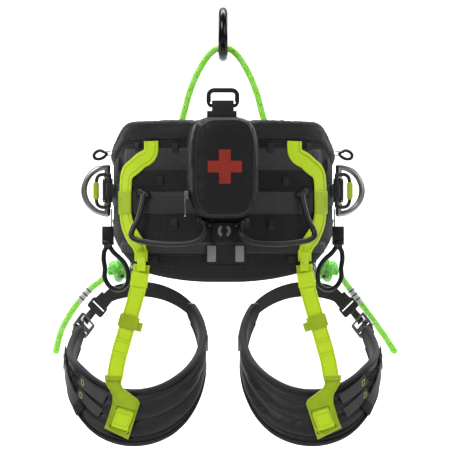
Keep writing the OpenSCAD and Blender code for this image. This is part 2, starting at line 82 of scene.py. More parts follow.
def ease(t):
    c = max(0.0, min(1.0, t))
    return c * c * (3 - 2 * c)


def steps(a, b, n):
    return [a + (b - a) * i / n for i in range(n + 1)]


def spline(points, k):
    """The curve that part.scad sweeps, with k steps between each two points."""
    p = [Vector(q) for q in points]
    n = len(p) - 1
    out = []
    for i in range(n):
        b, c = p[i], p[i + 1]
        a = p[i - 1] if i > 0 else 2 * b - c
        d = p[i + 2] if i + 2 <= n else 2 * c - b
        for j in range(k):
            t = j / k
            out.append(
                0.5
                * (2 * b + (c - a) * t + (2 * a - 5 * b + 4 * c - d) * t * t
                    + (3 * b - a - 3 * c + d) * t * t * t)
            )
    return out + [p[-1]]


def tangent(path, i):
    return (path[min(i + 1, len(path) - 1)] - path[max(i - 1, 0)]).normalized()


def resample(path, spacing):
    total = sum((path[i + 1] - path[i]).length for i in range(len(path) - 1))
    n = max(2, round(total / spacing))
    out, i, done = [], 0, 0.0
    for k in range(n + 1):
        want = total * k / n
        while i < len(path) - 2 and done + (path[i + 1] - path[i]).length < want:
            done += (path[i + 1] - path[i]).length
            i += 1
        seg = (path[i + 1] - path[i]).length
        out.append(path[i].lerp(path[i + 1], min(1.0, (want - done) / max(seg, 1e-9))))
    return out


# ---------- camera ----------
CAM_X, CAM_DISTANCE, CAM_Z = 0.0032, 2.6, -0.037
LENS, SENSOR = 130, 36
cam_data = bpy.data.cameras.new("camera")
cam_data.lens = LENS
cam_data.sensor_width = SENSOR
cam = bpy.data.objects.new("camera", cam_data)
bpy.context.scene.collection.objects.link(cam)
cam.location = (CAM_X, -CAM_DISTANCE, CAM_Z)
cam.rotation_euler = (math.pi / 2, 0, 0)
bpy.context.scene.camera = cam
# the standard view keeps neon colours, which the film-like curve turns pale
bpy.context.scene.view_settings.view_transform = "Standard"


# ---------- materials ----------
class Nodes:
    """A short way to write a material's nodes."""

    def __init__(self, name, color, rough, **sockets):
        self.mat = bpy.data.materials.new(name)
        self.mat.use_nodes = True
        self.tree = self.mat.node_tree
        self.shader = self.tree.nodes["Principled BSDF"]
        self.shader.inputs["Base Color"].default_value = (*color, 1)
        self.shader.inputs["Roughness"].default_value = rough
        for key, value in sockets.items():
            self.shader.inputs[key.replace("_", " ")].default_value = value

    def node(self, kind, **settings):
        n = self.tree.nodes.new(kind)
        for key, value in settings.items():
            if key.startswith("in_"):
                n.inputs[key[3:].replace("_", " ")].default_value = value
            else:
                setattr(n, key, value)
        return n

    def link(self, a, b):
        self.tree.links.new(a, b)

    def math(self, op, a, b=None):
        n = self.node("ShaderNodeMath", operation=op)
        for i, x in enumerate((a, b)):
            if x is None:
                continue
            if isinstance(x, (int, float)):
                n.inputs[i].default_value = x
            else:
                self.link(x, n.inputs[i])
        return n.outputs[0]

    def mul(self, a, b):
        return self.math("MULTIPLY", a, b)

    def add(self, a, b):
        return self.math("ADD", a, b)

    def sine(self, a):
        return self.math("SINE", a)

    def coords(self, kind):
        return self.node("ShaderNodeTexCoord").outputs[kind]

    def split(self, vector):
        n = self.node("ShaderNodeSeparateXYZ")
        self.link(vector, n.inputs[0])
        return n.outputs

    def ramp(self, factor, stops):
        n = self.node("ShaderNodeValToRGB")
        e = n.color_ramp.elements
        while len(e) < len(stops):
            e.new(0.5)
        for i, (at, color) in enumerate(stops):
            e[i].position = at
            e[i].color = (*color, 1) if len(color) == 3 else color
        self.link(factor, n.inputs[0])
        return n.outputs[0]

    def noise(self, vector, scale, detail=3.0, rough=0.55):
        n = self.node("ShaderNodeTexNoise", in_Scale=scale, in_Detail=detail, in_Roughness=rough)
        if vector is not None:
            self.link(vector, n.inputs["Vector"])
        return n.outputs[0]

    def mix(self, factor, a, b, mode="MIX"):
        n = self.node("ShaderNodeMix", data_type="RGBA", blend_type=mode)
        for i, x in ((0, factor), (6, a), (7, b)):
            if isinstance(x, (int, float)):
                n.inputs[i].default_value = x
            elif isinstance(x, tuple):
                n.inputs[i].default_value = (*x, 1)
            else:
                self.link(x, n.inputs[i])
        return n.outputs[2]

    def bump(self, height, distance, strength=1.0, under=None):
        n = self.node("ShaderNodeBump", in_Strength=strength, in_Distance=distance)
        self.link(height, n.inputs["Height"])
        if under is not None:
            self.link(under, n.inputs["Normal"])
        self.link(n.outputs[0], self.shader.inputs["Normal"])
        return n.outputs[0]

    def color(self, socket):
        self.link(socket, self.shader.inputs["Base Color"])

    def rough(self, factor, low, high):
        n = self.node("ShaderNodeMapRange")
        n.inputs["To Min"].default_value = low
        n.inputs["To Max"].default_value = high
        self.link(factor, n.inputs["Value"])
        self.link(n.outputs[0], self.shader.inputs["Roughness"])


def wave(n, coordinate, pitch):
    """A smooth wave from 0 to 1 along one coordinate, its pitch in metres."""
    sine = n.sine(n.mul(coordinate, 2 * math.pi / pitch))
    return n.add(n.mul(sine, 0.5), 0.5)


def shade(color, k):
    return tuple(min(1.0, c * k) for c in color)


def webbing(name, color, light, rough=0.62, pitch=0.0019, sheen=0.08, across=True, specular=0.35):
    """Woven webbing: u runs along it and v across it, both in metres."""
    n = Nodes(name, color, rough, Sheen_Weight=sheen, Sheen_Roughness=0.4, Specular_IOR_Level=specular)
    u, v, _ = n.split(n.coords("UV"))
    long_ribs = wave(n, v, pitch)
    zigzag = n.mul(n.math("ABSOLUTE", n.sine(n.mul(v, math.pi / pitch))),
        0.0007)
    weft = wave(n, n.add(u, zigzag), pitch * 0.8)
    weave = n.add(n.mul(long_ribs, 0.55 if across else 0.2),
        n.mul(weft, 0.45 if across else 0.8))
    wear = n.noise(n.coords("Object"), 38, 4)
    tone = n.ramp(weave, [(0.15, shade(color, 0.75)), (0.8, light)])
    n.color(n.mix(n.mul(wear, 0.45), tone, shade(color, 1.2)))
    n.rough(wear, rough - 0.08, rough + 0.1)
    n.bump(weave, 0.0004, 0.5)
    return n.mat


def cloth(name, color, light, rough=0.75, scale=900.0, sheen=0.08, bump=0.00025, waves=False, specular=0.3):
    """A fine plain weave in object space; waves adds the wavy rows of a spacer mesh."""
    n = Nodes(name, color, rough, Sheen_Weight=sheen, Sheen_Roughness=0.45, Specular_IOR_Level=specular)
    x, y, z = n.split(n.coords("Object"))
    a = n.sine(n.mul(n.add(x, n.mul(y, 1.3)), scale * 4))
    b = n.sine(n.mul(z, scale * 5))
    weave = n.add(n.mul(n.mul(a, b), 0.5), 0.5)
    patch = n.noise(n.coords("Object"), 24, 5, 0.6)
    fluff = n.noise(n.coords("Object"), 420, 2)
    fine = n.add(n.mul(weave, 0.5), n.mul(fluff, 0.5))
    if waves:
        ripple = n.mul(n.sine(n.mul(n.add(x, y), 1150)), 0.0005)
        rows = wave(n, n.add(z, ripple), 0.0031)
        fine = n.add(n.mul(fine, 0.3), n.mul(rows, 0.7))
    tone = n.ramp(fine, [(0.2, color), (0.85, light)])
    n.color(n.mix(n.mul(patch, 0.5), tone, shade(color, 1.4)))
    n.rough(patch, rough - 0.1, rough + 0.1)
    under = n.bump(weave, bump, 0.5)
    if waves:
        n.bump(rows, 0.0009, 0.9, under)
    return n.mat


def plastic(name, color, rough=0.42, grain=0.00012, coat=0.0, specular=0.4):
    n = Nodes(name, color, rough, Coat_Weight=coat, Coat_Roughness=0.25, Specular_IOR_Level=specular)
    fine = n.noise(n.coords("Object"), 1500, 2)
    wide = n.noise(n.coords("Object"), 45, 4)
    n.color(n.ramp(wide, [(0.3, shade(color, 0.86)), (0.75, shade(color, 1.12))]))
    n.rough(wide, rough - 0.06, rough + 0.1)
    n.bump(fine, grain, 0.5)
    return n.mat


def metal(name, color, rough, brushed=0.0, wear=(0.5, 0.9)):
    n = Nodes(name, color, rough, Metallic=1.0)
    x, y, z = n.split(n.coords("Object"))
    stretch = n.node("ShaderNodeCombineXYZ")
    n.link(x, stretch.inputs[0])
    n.link(y, stretch.inputs[1])
    n.link(n.mul(z, 0.04), stretch.inputs[2])
    lines = n.noise(stretch.outputs[0], 1600, 3)
    marks = n.noise(n.coords("Object"), 110, 6, 0.7)
    n.color(n.ramp(marks, [(wear[0] - 0.2, shade(color, 0.8)), (wear[1], shade(color, 1.08))]))
    n.rough(marks, max(0.04, rough - 0.06), rough + 0.12)
    n.bump(lines, 0.00006, brushed)
    return n.mat


def braided(name, color, light, dark, strands, radius, pitch):
    """A braided sheath: u along the rope in metres, v round it in metres."""
    n = Nodes(name, color, 0.62, Sheen_Weight=0.12, Sheen_Roughness=0.35, Specular_IOR_Level=0.3)
    u, v, _ = n.split(n.coords("UV"))
    turns = n.mul(v, strands / (2 * math.pi * radius))
    along = n.mul(u, 1 / pitch)
    s1 = n.sine(n.mul(n.add(along, turns), 2 * math.pi))
    s2 = n.sine(n.mul(n.math("SUBTRACT", along, turns), 2 * math.pi))
    plait = n.add(n.mul(n.math("MAXIMUM", s1, s2), 0.5), 0.5)
    over = n.math("GREATER_THAN", n.mul(s1, s2), 0.3)
    fleck = n.noise(n.coords("Object"), 95, 3)
    base = n.ramp(plait, [(0.35, dark), (0.8, color)])
    picks = n.mul(over, n.mul(n.math("GREATER_THAN", fleck, 0.52), 0.85))
    n.color(n.mix(picks, base, light))
    n.rough(fleck, 0.5, 0.75)
    n.bump(plait, 0.0005, 0.8)
    return n.mat


LIME = (0.45, 0.62, 0.009)
LIME_LIGHT = (0.56, 0.78, 0.020)

M = {
    "shell": cloth("shell_fabric", (0.005, 0.005, 0.0055), (0.017, 0.017, 0.018), 0.72, sheen=0.04,
        specular=0.25, waves=True),
    "row": webbing("row_fabric", (0.007, 0.007, 0.0075), (0.026, 0.026, 0.027), 0.46, 0.0021, sheen=0.03,
        across=False, specular=0.42),
    "rim": cloth("rim_fabric", (0.006, 0.006, 0.0065), (0.012, 0.012, 0.0125), 0.6, 1300, 0.04,
        specular=0.28),
    "lining": cloth("lining_mesh", (0.009, 0.009, 0.01), (0.03, 0.03, 0.032), 0.85, 420, 0.1, 0.0005),
    "leg": cloth("leg_fabric", (0.003, 0.003, 0.0034), (0.0075, 0.0075, 0.008), 0.42, 1100, 0.02,
        specular=0.36),
    "binding": webbing("binding_tape", (0.006, 0.006, 0.0065), (0.013, 0.013, 0.014), 0.6, 0.0012,
        sheen=0.04, specular=0.3),
    "pouch": cloth("pouch_fabric", (0.003, 0.003, 0.004), (0.006, 0.006, 0.0075), 0.45, 1250, 0.01,
        specular=0.22),
    "piping": plastic("pouch_piping", (0.010, 0.010, 0.011), 0.45),
    "zip_tape": webbing("zip_tape", (0.010, 0.010, 0.0105), (0.02, 0.02, 0.021), 0.6, 0.001),
    "grey_web": webbing("grey_webbing", (0.012, 0.012, 0.0125), (0.028, 0.028, 0.029), 0.46, 0.0021,
        across=False, specular=0.5),
    "light_web": webbing("light_grey_webbing", (0.028, 0.028, 0.03), (0.055, 0.055, 0.058), 0.55, 0.0017),
    "strap_web": webbing("leg_webbing", (0.012, 0.012, 0.0125), (0.034, 0.034, 0.035), 0.5, 0.0024,
        across=False, specular=0.45),
    "black_web": webbing("black_webbing", (0.005, 0.005, 0.0055), (0.013, 0.013, 0.0135), 0.6, 0.0016,
        sheen=0.04, specular=0.3),
    "lime_web": webbing("lime_webbing", LIME, LIME_LIGHT, 0.55, 0.0015, sheen=0.03, specular=0.25),
    "sleeve_web": webbing("sleeve_webbing", shade(LIME, 0.7), shade(LIME_LIGHT, 0.72), 0.5, 0.0015,
        sheen=0.03, specular=0.3),
    "lime_thread": plastic("lime_thread", (0.64, 0.86, 0.10), 0.5),
    "dark_thread": plastic("dark_lime_thread", (0.16, 0.26, 0.01), 0.6),
    "grey_thread": plastic("grey_thread", (0.035, 0.035, 0.037), 0.5),
    "lime_plastic": plastic("lime_plastic", (0.29, 0.40, 0.010), 0.36, 0.0001, specular=0.35),
    "black_plastic": plastic("black_plastic", (0.007, 0.007, 0.0075), 0.34, 0.00012),
    "rubber": plastic("black_rubber", (0.006, 0.006, 0.0065), 0.36, 0.00018, specular=0.35),
    "label": plastic("label_rubber", (0.006, 0.006, 0.0065), 0.5, 0.0002, specular=0.3),
    "reflective": plastic("reflective_field", (0.17, 0.17, 0.175), 0.5, 0.0004),
    "white_print": plastic("white_print", (0.55, 0.55, 0.55), 0.5),
    "red_print": plastic("red_print", (0.24, 0.024, 0.015), 0.55, 0.0002, specular=0.15),
    "alu": metal("polished_aluminium", (0.34, 0.34, 0.35), 0.3, 0.2),
    "steel": metal("brushed_steel", (0.36, 0.36, 0.375), 0.28, 0.6),
    "dark_metal": metal("dark_metal", (0.09, 0.09, 0.094), 0.36, 0.4),
    "black_metal": metal("black_anodised", (0.03, 0.03, 0.032), 0.2, 0.15),
    "rope": braided("bridge_rope", (0.34, 0.90, 0.06), (0.62, 0.90, 0.50), (0.15, 0.60, 0.030), 8, 0.0062,
        0.010),
    "tail_rope": braided("tail_rope", (0.35, 0.90, 0.09), (0.68, 0.92, 0.55), (0.17, 0.62, 0.045), 8,
        0.0062, 0.010),
    # the knots' braid is a darker copy of the bridge rope's braid: painted shade of the knot's wraps, not a
    # different rope
    "knot_rope_shaded": braided("knot_rope_shaded", (0.17, 0.66, 0.06), (0.48, 0.84, 0.40), (0.06, 0.34, 0.02), 8,
        0.0062, 0.010),
    "cord": braided("black_cord", (0.016, 0.016, 0.017), (0.035, 0.035, 0.037), (0.007, 0.007, 0.007), 6,
        0.002, 0.004),
    "sleeve": plastic("marker_sleeve", (0.55, 0.57, 0.55), 0.4),
}


# ---------- mesh builders ----------
def finish_piece(name, verts, faces, mat, body, uvs=None, nodes=(), angle=40, extra=()):
    me = bpy.data.meshes.new(name)
    me.from_pydata([tuple(v) for v in verts], [], faces)
    me.materials.append(M[mat])
    for m in extra:
        me.materials.append(M[m])
    if uvs:
        layer = me.uv_layers.new(name="uv")
        for poly in me.polygons:
            for li, uv in zip(poly.loop_indices, uvs[poly.index]):
                layer.data[li].uv = uv
    me.validate()
    me.update()
    for poly in me.polygons:
        poly.use_smooth = True
    me.set_sharp_from_angle(angle=math.radians(angle))
    ob = bpy.data.objects.new(name, me)
    bpy.context.scene.collection.objects.link(ob)
    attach(ob, body)
    if nodes:
        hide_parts(*nodes)
    return ob


def loft_data(rings, closed=True, caps=True, loop=False, base=0, u0=0.0):
    """Verts, faces and UVs (metres) of a skin through rings that run the same way."""
    n, m = len(rings), len(rings[0])
    verts = [p for r in rings for p in r]
    along = [u0]
    centre = [sum(r, Vector()) / m for r in rings]
    for i in range(1, n):
        along.append(along[-1] + (centre[i] - centre[i - 1]).length)
    if loop:
        along.append(along[-1] + (centre[0] - centre[-1]).length)
    mid = rings[n // 2]
    around = [0.0]
    for j in range(1, m + 1):
        around.append(around[-1] + (mid[j % m] - mid[j - 1]).length)
    faces, uvs = [], []
    for i in range(n if loop else n - 1):
        k = (i + 1) % n
        for j in range(m if closed else m - 1):
            q = (j + 1) % m
            faces.append((base + i * m + j, base + i * m + q, base + k * m + q, base + k * m + j))
            uvs.append([(along[i], around[j]), (along[i], around[j + 1]), (along[i + 1], around[j + 1]),
                (along[i + 1], around[j])])
    if caps and not loop:
        faces.append(tuple(base + j for j in reversed(range(m))))
        uvs.append([(along[0], around[j]) for j in reversed(range(m))])
        faces.append(tuple(base + (n - 1) * m + j for j in range(m)))
        uvs.append([(along[-1], around[j]) for j in range(m)])
    return verts, faces, uvs


def loft(name, rings, mat, body, nodes=(), closed=True, caps=True, loop=False, angle=40):
    verts, faces, uvs = loft_data(rings, closed, caps, loop)
    return finish_piece(name, verts, faces, mat, body, uvs, nodes, angle)


def many(name, parts, mat, body, nodes=(), angle=40):
    """One piece from several lofted parts, each a list of rings."""
    verts, faces, uvs = [], [], []
    for rings in parts:
        v, f, u = loft_data(rings, base=len(verts))
        verts += v
        faces += f
        uvs += u
    return finish_piece(name, verts, faces, mat, body, uvs, nodes, angle)


def tube_rings(path, radius, sides=16, up=None):
    """Round rings along a path, carried along without twisting."""
    rings = []
    t0 = tangent(path, 0)
    ref = Vector(up) if up is not None else (Vector((0, 0, 1)) if abs(t0.z) < 0.8 else Vector((1, 0, 0)))
    a = t0.cross(ref).normalized()
    for i, p in enumerate(path):
        t = tangent(path, i)
        a = (a - t * a.dot(t)).normalized()
        b = t.cross(a)
        r = radius(i / (len(path) - 1)) if callable(radius) else radius
        rings.append([p + r * (math.cos(2 * math.pi * j / sides) * a
            + math.sin(2 * math.pi * j / sides) * b) for j in range(sides)])
    return rings


def round_ends(path, radius, sides=16, up=None):
    """A tube whose ends are domed."""
    rings = tube_rings(path, radius, sides, up)
    out = []
    for end, sign in ((0, -1), (len(path) - 1, 1)):
        t = tangent(path, end) * sign
        dome = []
        for a in (60, 30):
            c, s = cosd(a), sind(a)
            dome.append([path[end] + (q - path[end]) * c + t * s * radius for q in rings[end]])
        out.append(dome)
    return out[0] + rings + list(reversed(out[1]))


def strap_ring(centre, side, normal, width, thick, cols=8, edge=0.0):
    """A flat strap's rounded outline at one place: side across it, normal out of its face."""
    w, t = width / 2, thick / 2
    ring = []
    xs = [w * (2 * k / cols - 1) for k in range(cols + 1)]
    for x in xs:
        k = abs(x) / w
        ring.append(centre + side * x * (1 - 0.012) - normal * t * (1 - 0.35 * (k > 0.99)))
    ring.append(centre + side * w)
    for x in reversed(xs):
        k = abs(x) / w
        ring.append(centre + side * x * (1 - 0.012) + normal * (t * (1 - 0.35 * (k > 0.99))
            + edge * (0.8 < k < 0.99)))
    ring.append(centre - side * w)
    return ring


def strap_rings(path, normals, width, thick, cols=8, edge=0.0):
    rings = []
    for i, p in enumerate(path):
        n0 = normals[i] if isinstance(normals, list) else normals
        t = tangent(path, i)
        side = t.cross(Vector(n0)).normalized()
        n = side.cross(t).normalized()
        w = width[i] if isinstance(width, list) else width
        rings.append(strap_ring(p, side, n, w, thick, cols, edge))
    return rings


def stitch_parts(path, normal_at, length=0.0026, gap=0.0016, radius=0.00032, lift=0.0001):
    """Threads along a path on a surface, each a short rounded bead."""
    line = resample(path, length + gap)
    parts = []
    for i in range(len(line) - 1):
        a, b = line[i], line[i + 1]
        t = (b - a).normalized()
        n = normal_at(i / max(1, len(line) - 2)).normalized()
        mid = (a + b) / 2 + n * lift
        s = t.cross(n).normalized()
        rings = []
        for f, r in ((-0.5, 0.25), (-0.35, 0.9), (0, 1.15), (0.35, 0.9), (0.5, 0.25)):
            c = mid + t * length * f
            rings.append([c + radius * r * (math.cos(k * math.pi / 3) * s + math.sin(k * math.pi / 3) * n)
                for k in range(6)])
        parts.append(rings)
    return parts


def beveled(name, node, mat, width, segments=3, angle=30):
    """A copy of a CAD node with its edges rounded."""
    src = frame["nodes"][node]
    ob = src.copy()
    ob.data = src.data.copy()
    ob.name = name
    ob.data.name = name
    for key in list(ob.keys()):
        if key.startswith("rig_"):
            del ob[key]
    ob.parent = None
    bpy.context.scene.collection.objects.link(ob)
    me = ob.data
    bm = bmesh.new()
    bm.from_mesh(me)
    bmesh.ops.remove_doubles(bm, verts=bm.verts, dist=1e-6)
    bmesh.ops.dissolve_limit(bm, angle_limit=math.radians(2), verts=bm.verts, edges=bm.edges)
    bm.to_mesh(me)
    bm.free()
    me.materials.clear()
    me.materials.append(M[mat])
    mod = ob.modifiers.new("bevel", "BEVEL")
    mod.width = width
    mod.segments = segments
    mod.limit_method = "ANGLE"
    mod.angle_limit = math.radians(angle)
    mod.use_clamp_overlap = True
    dep = bpy.context.evaluated_depsgraph_get()
    new = bpy.data.meshes.new_from_object(ob.evaluated_get(dep))
    ob.modifiers.clear()
    ob.data = new
    for poly in new.polygons:
        poly.use_smooth = True
    new.set_sharp_from_angle(angle=math.radians(42))
    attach(ob, src["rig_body"])
    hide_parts(node)
    return ob


SIM_FRAMES = 20


def stuffed(rings, sewn, pressure=4.0, voxel=0.005):
    """A closed skin after a short cloth simulation under inner pressure, as a tree to measure on.
    sewn(point) tells which points the stitching holds in place."""
    verts, faces, _ = loft_data(rings)
    me = bpy.data.meshes.new("stuffing")
    me.from_pydata([tuple(v) for v in verts], [], faces)
    ob = bpy.data.objects.new("stuffing", me)
    bpy.context.scene.collection.objects.link(ob)
    mod = ob.modifiers.new("skin", "REMESH")
    mod.mode = "VOXEL"
    mod.voxel_size = voxel
    base = bpy.data.meshes.new_from_object(ob.evaluated_get(bpy.context.evaluated_depsgraph_get()))
    ob.modifiers.clear()
    ob.data = base
    group = ob.vertex_groups.new(name="sewn")
    group.add([v.index for v in base.vertices if sewn(v.co)], 1.0, "REPLACE")
    cloth_mod = ob.modifiers.new("cloth", "CLOTH")
    c = cloth_mod.settings
    c.quality = 4
    c.mass = 0.3
    c.tension_stiffness = 6
    c.compression_stiffness = 6
    c.shear_stiffness = 2
    c.bending_stiffness = 0.15
    c.shrink_min = -0.035
    c.use_pressure = True
    c.uniform_pressure_force = pressure
    c.vertex_group_mass = "sewn"
    c.effector_weights.gravity = 0
    for f in range(1, SIM_FRAMES + 1):
        bpy.context.scene.frame_set(f)
    sim = bpy.data.meshes.new_from_object(ob.evaluated_get(bpy.context.evaluated_depsgraph_get()))
    tree = BVHTree.FromPolygons([v.co.copy() for v in sim.vertices],
        [tuple(p.vertices) for p in sim.polygons])
    bpy.context.scene.frame_set(1)
    bpy.data.objects.remove(ob)
    for old in (me, base, sim):
        bpy.data.meshes.remove(old)
    return tree


def swell(tree, point, normal, cap):
    """How far the simulated skin stands off a point along its normal, within the cap."""
    if tree is None:
        return 0.0
    hit = tree.ray_cast(point + normal * 0.02, -normal, 0.03)
    return 0.0 if hit[0] is None else max(-cap, min(cap, (hit[0] - point).dot(normal)))


def placer(side):
    """Puts a point of the left side on the side that is made."""
    return (lambda p: p.copy()) if side == "left" else mirror


def both(make):
    for side in SIDES:
        make(side, placer(side))


def turned(rings, side):
    """Rings of a mirrored piece, turned the other way so that its faces look out."""
    return rings if side == "left" else [list(reversed(r)) for r in rings]


def sided(rings, side, mir):
    """The left side's rings, mirrored and turned for the side that is made."""
    return turned([[mir(q) for q in r] for r in rings], side)


# ---------- the rope bridge, its tails and its knots ----------
ROPE_R = 5.65 * MM
EYE = (-150, 112, -112)
LEAN, BRIDGE_H = 42, 365.5
BRIDGE_HALF = [(162, -112), (150, -112), (140, -111), (130, -106), (122, -92), (117, -68), (111, -32),
    (103, 6), (93, 52),
               (80, 100), (66, 142), (56, 179), (43.5, 210), (27, 238), (12, 251.5)]
TAILS = {
    "left": [(-197.6, -124), (-207, -132), (-224, -146), (-243, -168), (-258, -190), (-271, -216),
        (-279, -248)],
    "right": [(197.6, -124), (212, -144), (230, -168), (248, -192), (268, -220), (286, -248)],
}


def bridge_y(z):
    return EYE[1] - LEAN * (z - EYE[2]) / BRIDGE_H


def rope_rings(path, radius=ROPE_R, sides=24, depth=0.00035, strands=8, pitch=0.011):
    """A rope with its braid pressed a little into the surface."""
    line = resample(path, 0.0022)
    rings = tube_rings(line, radius, sides)
    at = 0.0
    for i, r in enumerate(rings):
        if i:
            at += (line[i] - line[i - 1]).length
        for j in range(sides):
            turn = j / sides * strands / 2
            h = max(math.sin(2 * math.pi * (at / pitch + turn)),
                math.sin(2 * math.pi * (at / pitch - turn)))
            d = r[j] - line[i]
            r[j] = line[i] + d * (1 - depth / radius * (0.6 - 0.6 * h))
    return rings, line


half = [V(-x, bridge_y(z), z) for x, z in BRIDGE_HALF]
bridge_path = spline(half + [V(0, bridge_y(EYE[2] + BRIDGE_H), EYE[2] + BRIDGE_H)]
    + [mirror(p) for p in reversed(half)], 6)


def knot_path(mir):
    """Two fat wraps round the rope just outboard of the eye, lying aslant."""
    axis = Vector((-1, 0, -0.42)).normalized()
    fore = Vector((0, 1, 0))
    rise = axis.cross(fore)
    pts = []
    for k in range(0, 2 * 36 + 1):
        a = 2 * math.pi * k / 36
        at = Vector((-172.5, EYE[1], -112)) + axis * (26 * (k / 72 - 0.5))
        slant = rise * (12 * math.sin(a)) + fore * (12 * math.cos(a)) + axis * (4 * math.sin(a + 0.6))
        pts.append(mir((at + slant) * MM))
    return pts


bridge_rings, bridge_line = rope_rings(bridge_path)
rope = loft("bridge_rope_braid", bridge_rings, "rope", "bridge", ["bridge_rope"], angle=80)


def make_knot(side, mir):
    rings, _ = rope_rings(knot_path(mir), 7.6 * MM)
    core = [mir(V(-160, EYE[1], EYE[2])), mir(V(-178, EYE[1] + 1, EYE[2] - 2)),
        mir(V(-192, EYE[1] - 1, EYE[2] - 5))]
    core_rings, _ = rope_rings(spline(core, 6), 5.3 * MM)
    # the knot takes the darker copy of the rope's braid, painted shade of its wraps
    many(f"bridge_knot_{side}", [turned(rings, side), turned(core_rings, side)], "knot_rope_shaded", "bridge",
        angle=80)


both(make_knot)


def make_tail(side, mir):
    line = spline([V(x, EYE[1], z) for x, z in TAILS[side]], 8)
    rings, line = rope_rings(line)
    end = line[-1]
    t = tangent(line, len(line) - 1)
    ob = loft(f"rope_tail_braid_{side}", rings, "tail_rope", f"tail_{side}", [f"rope_tail_{side}"],
        angle=80)
    i0, i1 = (0.20, 0.40) if side == "left" else (0.16, 0.36)
    part = line[int(i0 * len(line)):int(i1 * len(line))]
    sleeve = loft(f"rope_marker_{side}", tube_rings(part, ROPE_R + 0.25 * MM, 24), "sleeve",
        f"tail_{side}")
    bands = []
    for f in (0.12, 0.5, 0.88):
        k = int(f * (len(part) - 3))
        bands.append(tube_rings(part[k:k + 2], ROPE_R + 0.4 * MM, 24))
    band = many(f"rope_marker_bands_{side}", bands, "black_plastic", f"tail_{side}")
    cap = loft(f"rope_end_{side}", round_ends([end - t * 6 * MM, end - t * 3 * MM, end - t * 1.0 * MM],
        ROPE_R + 0.15 * MM, 20), "tail_rope", f"tail_{side}")


both(make_tail)


# ---------- the belt ----------
HALF_W, BACK_R, SIDE_R, BACK_Y = 175, 240, 102, 125
TOP_Z, BOTTOM_Z, PAD_T, RIM_H, PAD_END = 124, 124, 14, 30, 128
JOIN = math.degrees(math.asin((HALF_W - SIDE_R) / (BACK_R - SIDE_R)))
SIDE_CX = (BACK_R - SIDE_R) * sind(JOIN)
BACK_CY = BACK_R - BACK_Y
SIDE_CY = BACK_CY - (BACK_R - SIDE_R) * cosd(JOIN)


def belt_at(phi, off, z):
    s = -1 if phi < 0 else 1
    r = math.radians(phi)
    if abs(phi) <= JOIN:
        x, y, rad = 0, BACK_CY, BACK_R
    else:
        x, y, rad = s * SIDE_CX, SIDE_CY, SIDE_R
    return V(x + (rad + off) * math.sin(r), y - (rad + off) * math.cos(r), z)


def belt_out(phi):
    return Vector((sind(phi), -cosd(phi), 0))


def metric(phi):
    return (BACK_R if abs(phi) <= JOIN else SIDE_R) * math.pi / 180


JOIN_RUN = BACK_R * JOIN * math.pi / 180


def belt_run(phi):
    """Length along the belt's outside from its middle to phi."""
    far = JOIN_RUN + (abs(phi) - JOIN) * metric(90)
    return math.copysign(abs(phi) * metric(0) if abs(phi) <= JOIN else far, phi)


def belt_phi(run):
    far = JOIN + (abs(run) - JOIN_RUN) / metric(90)
    return math.copysign(abs(run) / metric(0) if abs(run) <= JOIN_RUN else far, run)


def belt_top(phi):
    return TOP_Z - 36 * ease((abs(phi) - 43) / 40) - 24 * ease((abs(phi) - 75) / 50)


def belt_bottom(phi):
    return -BOTTOM_Z + 72 * ease((abs(phi) - 5) / 92)


def pad_top(phi):
    return belt_top(phi) - RIM_H * (1 - 0.45 * ease((abs(phi) - 60) / 60))


belt_angles = steps(-PAD_END, -JOIN, 60) + steps(-JOIN, JOIN, 44)[1:-1] + steps(JOIN, PAD_END, 60)


def end_pull(phi):
    """Rounds the belt's two front ends: 1 along it, 0 at the very end."""
    d = (PAD_END - abs(phi)) * metric(phi)
    return 1.0 if d > 16 else math.sqrt(max(0.0, 1 - (1 - d / 16) ** 2))


def padding_ring(phi):
    lo, hi = belt_bottom(phi), pad_top(phi)
    e = end_pull(phi)
    mid = (lo + hi) / 2
    lo, hi = mid + (lo - mid) * (0.55 + 0.45 * e), mid + (hi - mid) * (0.55 + 0.45 * e)
    ring = []
    cols = 26
    for k in range(cols + 1):
        t = k / cols
        z = lo + (hi - lo) * t
        edge = 2.2 * max(0, 1 - t * (hi - lo) / 5) ** 2
        seam = 1.2 * math.exp(-((z - lo - 19) / 1.5) ** 2)
        ring.append(belt_at(phi, -0.1 - edge - seam, z))
    ring.append(belt_at(phi, -4, hi + 0.6))
    ring.append(belt_at(phi, -10.8, hi + 0.6))
    ring.append(belt_at(phi, -10.8, lo + 1.5))
    ring.append(belt_at(phi, -8.2, lo))
    ring.append(belt_at(phi, -4.4, lo))
    return ring


loft("belt_padding", [padding_ring(p) for p in belt_angles], "shell", "belt",
    ["waist_shell", "waist_foam"], angle=60)


def lining_ring(phi):
    lo, hi = belt_bottom(phi) + 1.5, pad_top(phi)
    e = end_pull(phi)
    mid = (lo + hi) / 2
    lo, hi = mid + (lo - mid) * (0.55 + 0.45 * e), mid + (hi - mid) * (0.55 + 0.45 * e)
    ring = []
    cols = 22
    for k in range(cols + 1):
        t = k / cols
        z = hi + (lo - hi) * t
        panel = abs(math.sin(math.pi * (phi / 21.3))) ** 0.35
        rows = abs(math.sin(math.pi * 2.0 * t)) ** 0.3
        ring.append(belt_at(phi, -PAD_T + 1.6 - 1.6 * panel * rows * e, z))
    ring.append(belt_at(phi, -11, lo))
    ring.append(belt_at(phi, -11, hi))
    return ring


lining = loft("belt_lining", [lining_ring(p) for p in belt_angles], "lining", "belt", ["waist_liner"],
    angle=60)


def rim_sewn(p):
    """The rim's lower edge, its middle seam and its two ends are sewn down."""
    phi = math.degrees(math.atan2(p.x / MM, SIDE_CY - p.y / MM))
    if abs(p.x) < SIDE_CX * MM + 0.03 and p.y < 0:
        phi = math.degrees(math.atan2(p.x / MM, BACK_CY - p.y / MM))
    low, high = pad_top(phi), belt_top(phi)
    t = (p.z / MM - low) / (high - low)
    return t < 0.12 or abs(phi) > PAD_END - 6 or abs(t - 0.65) < 0.07


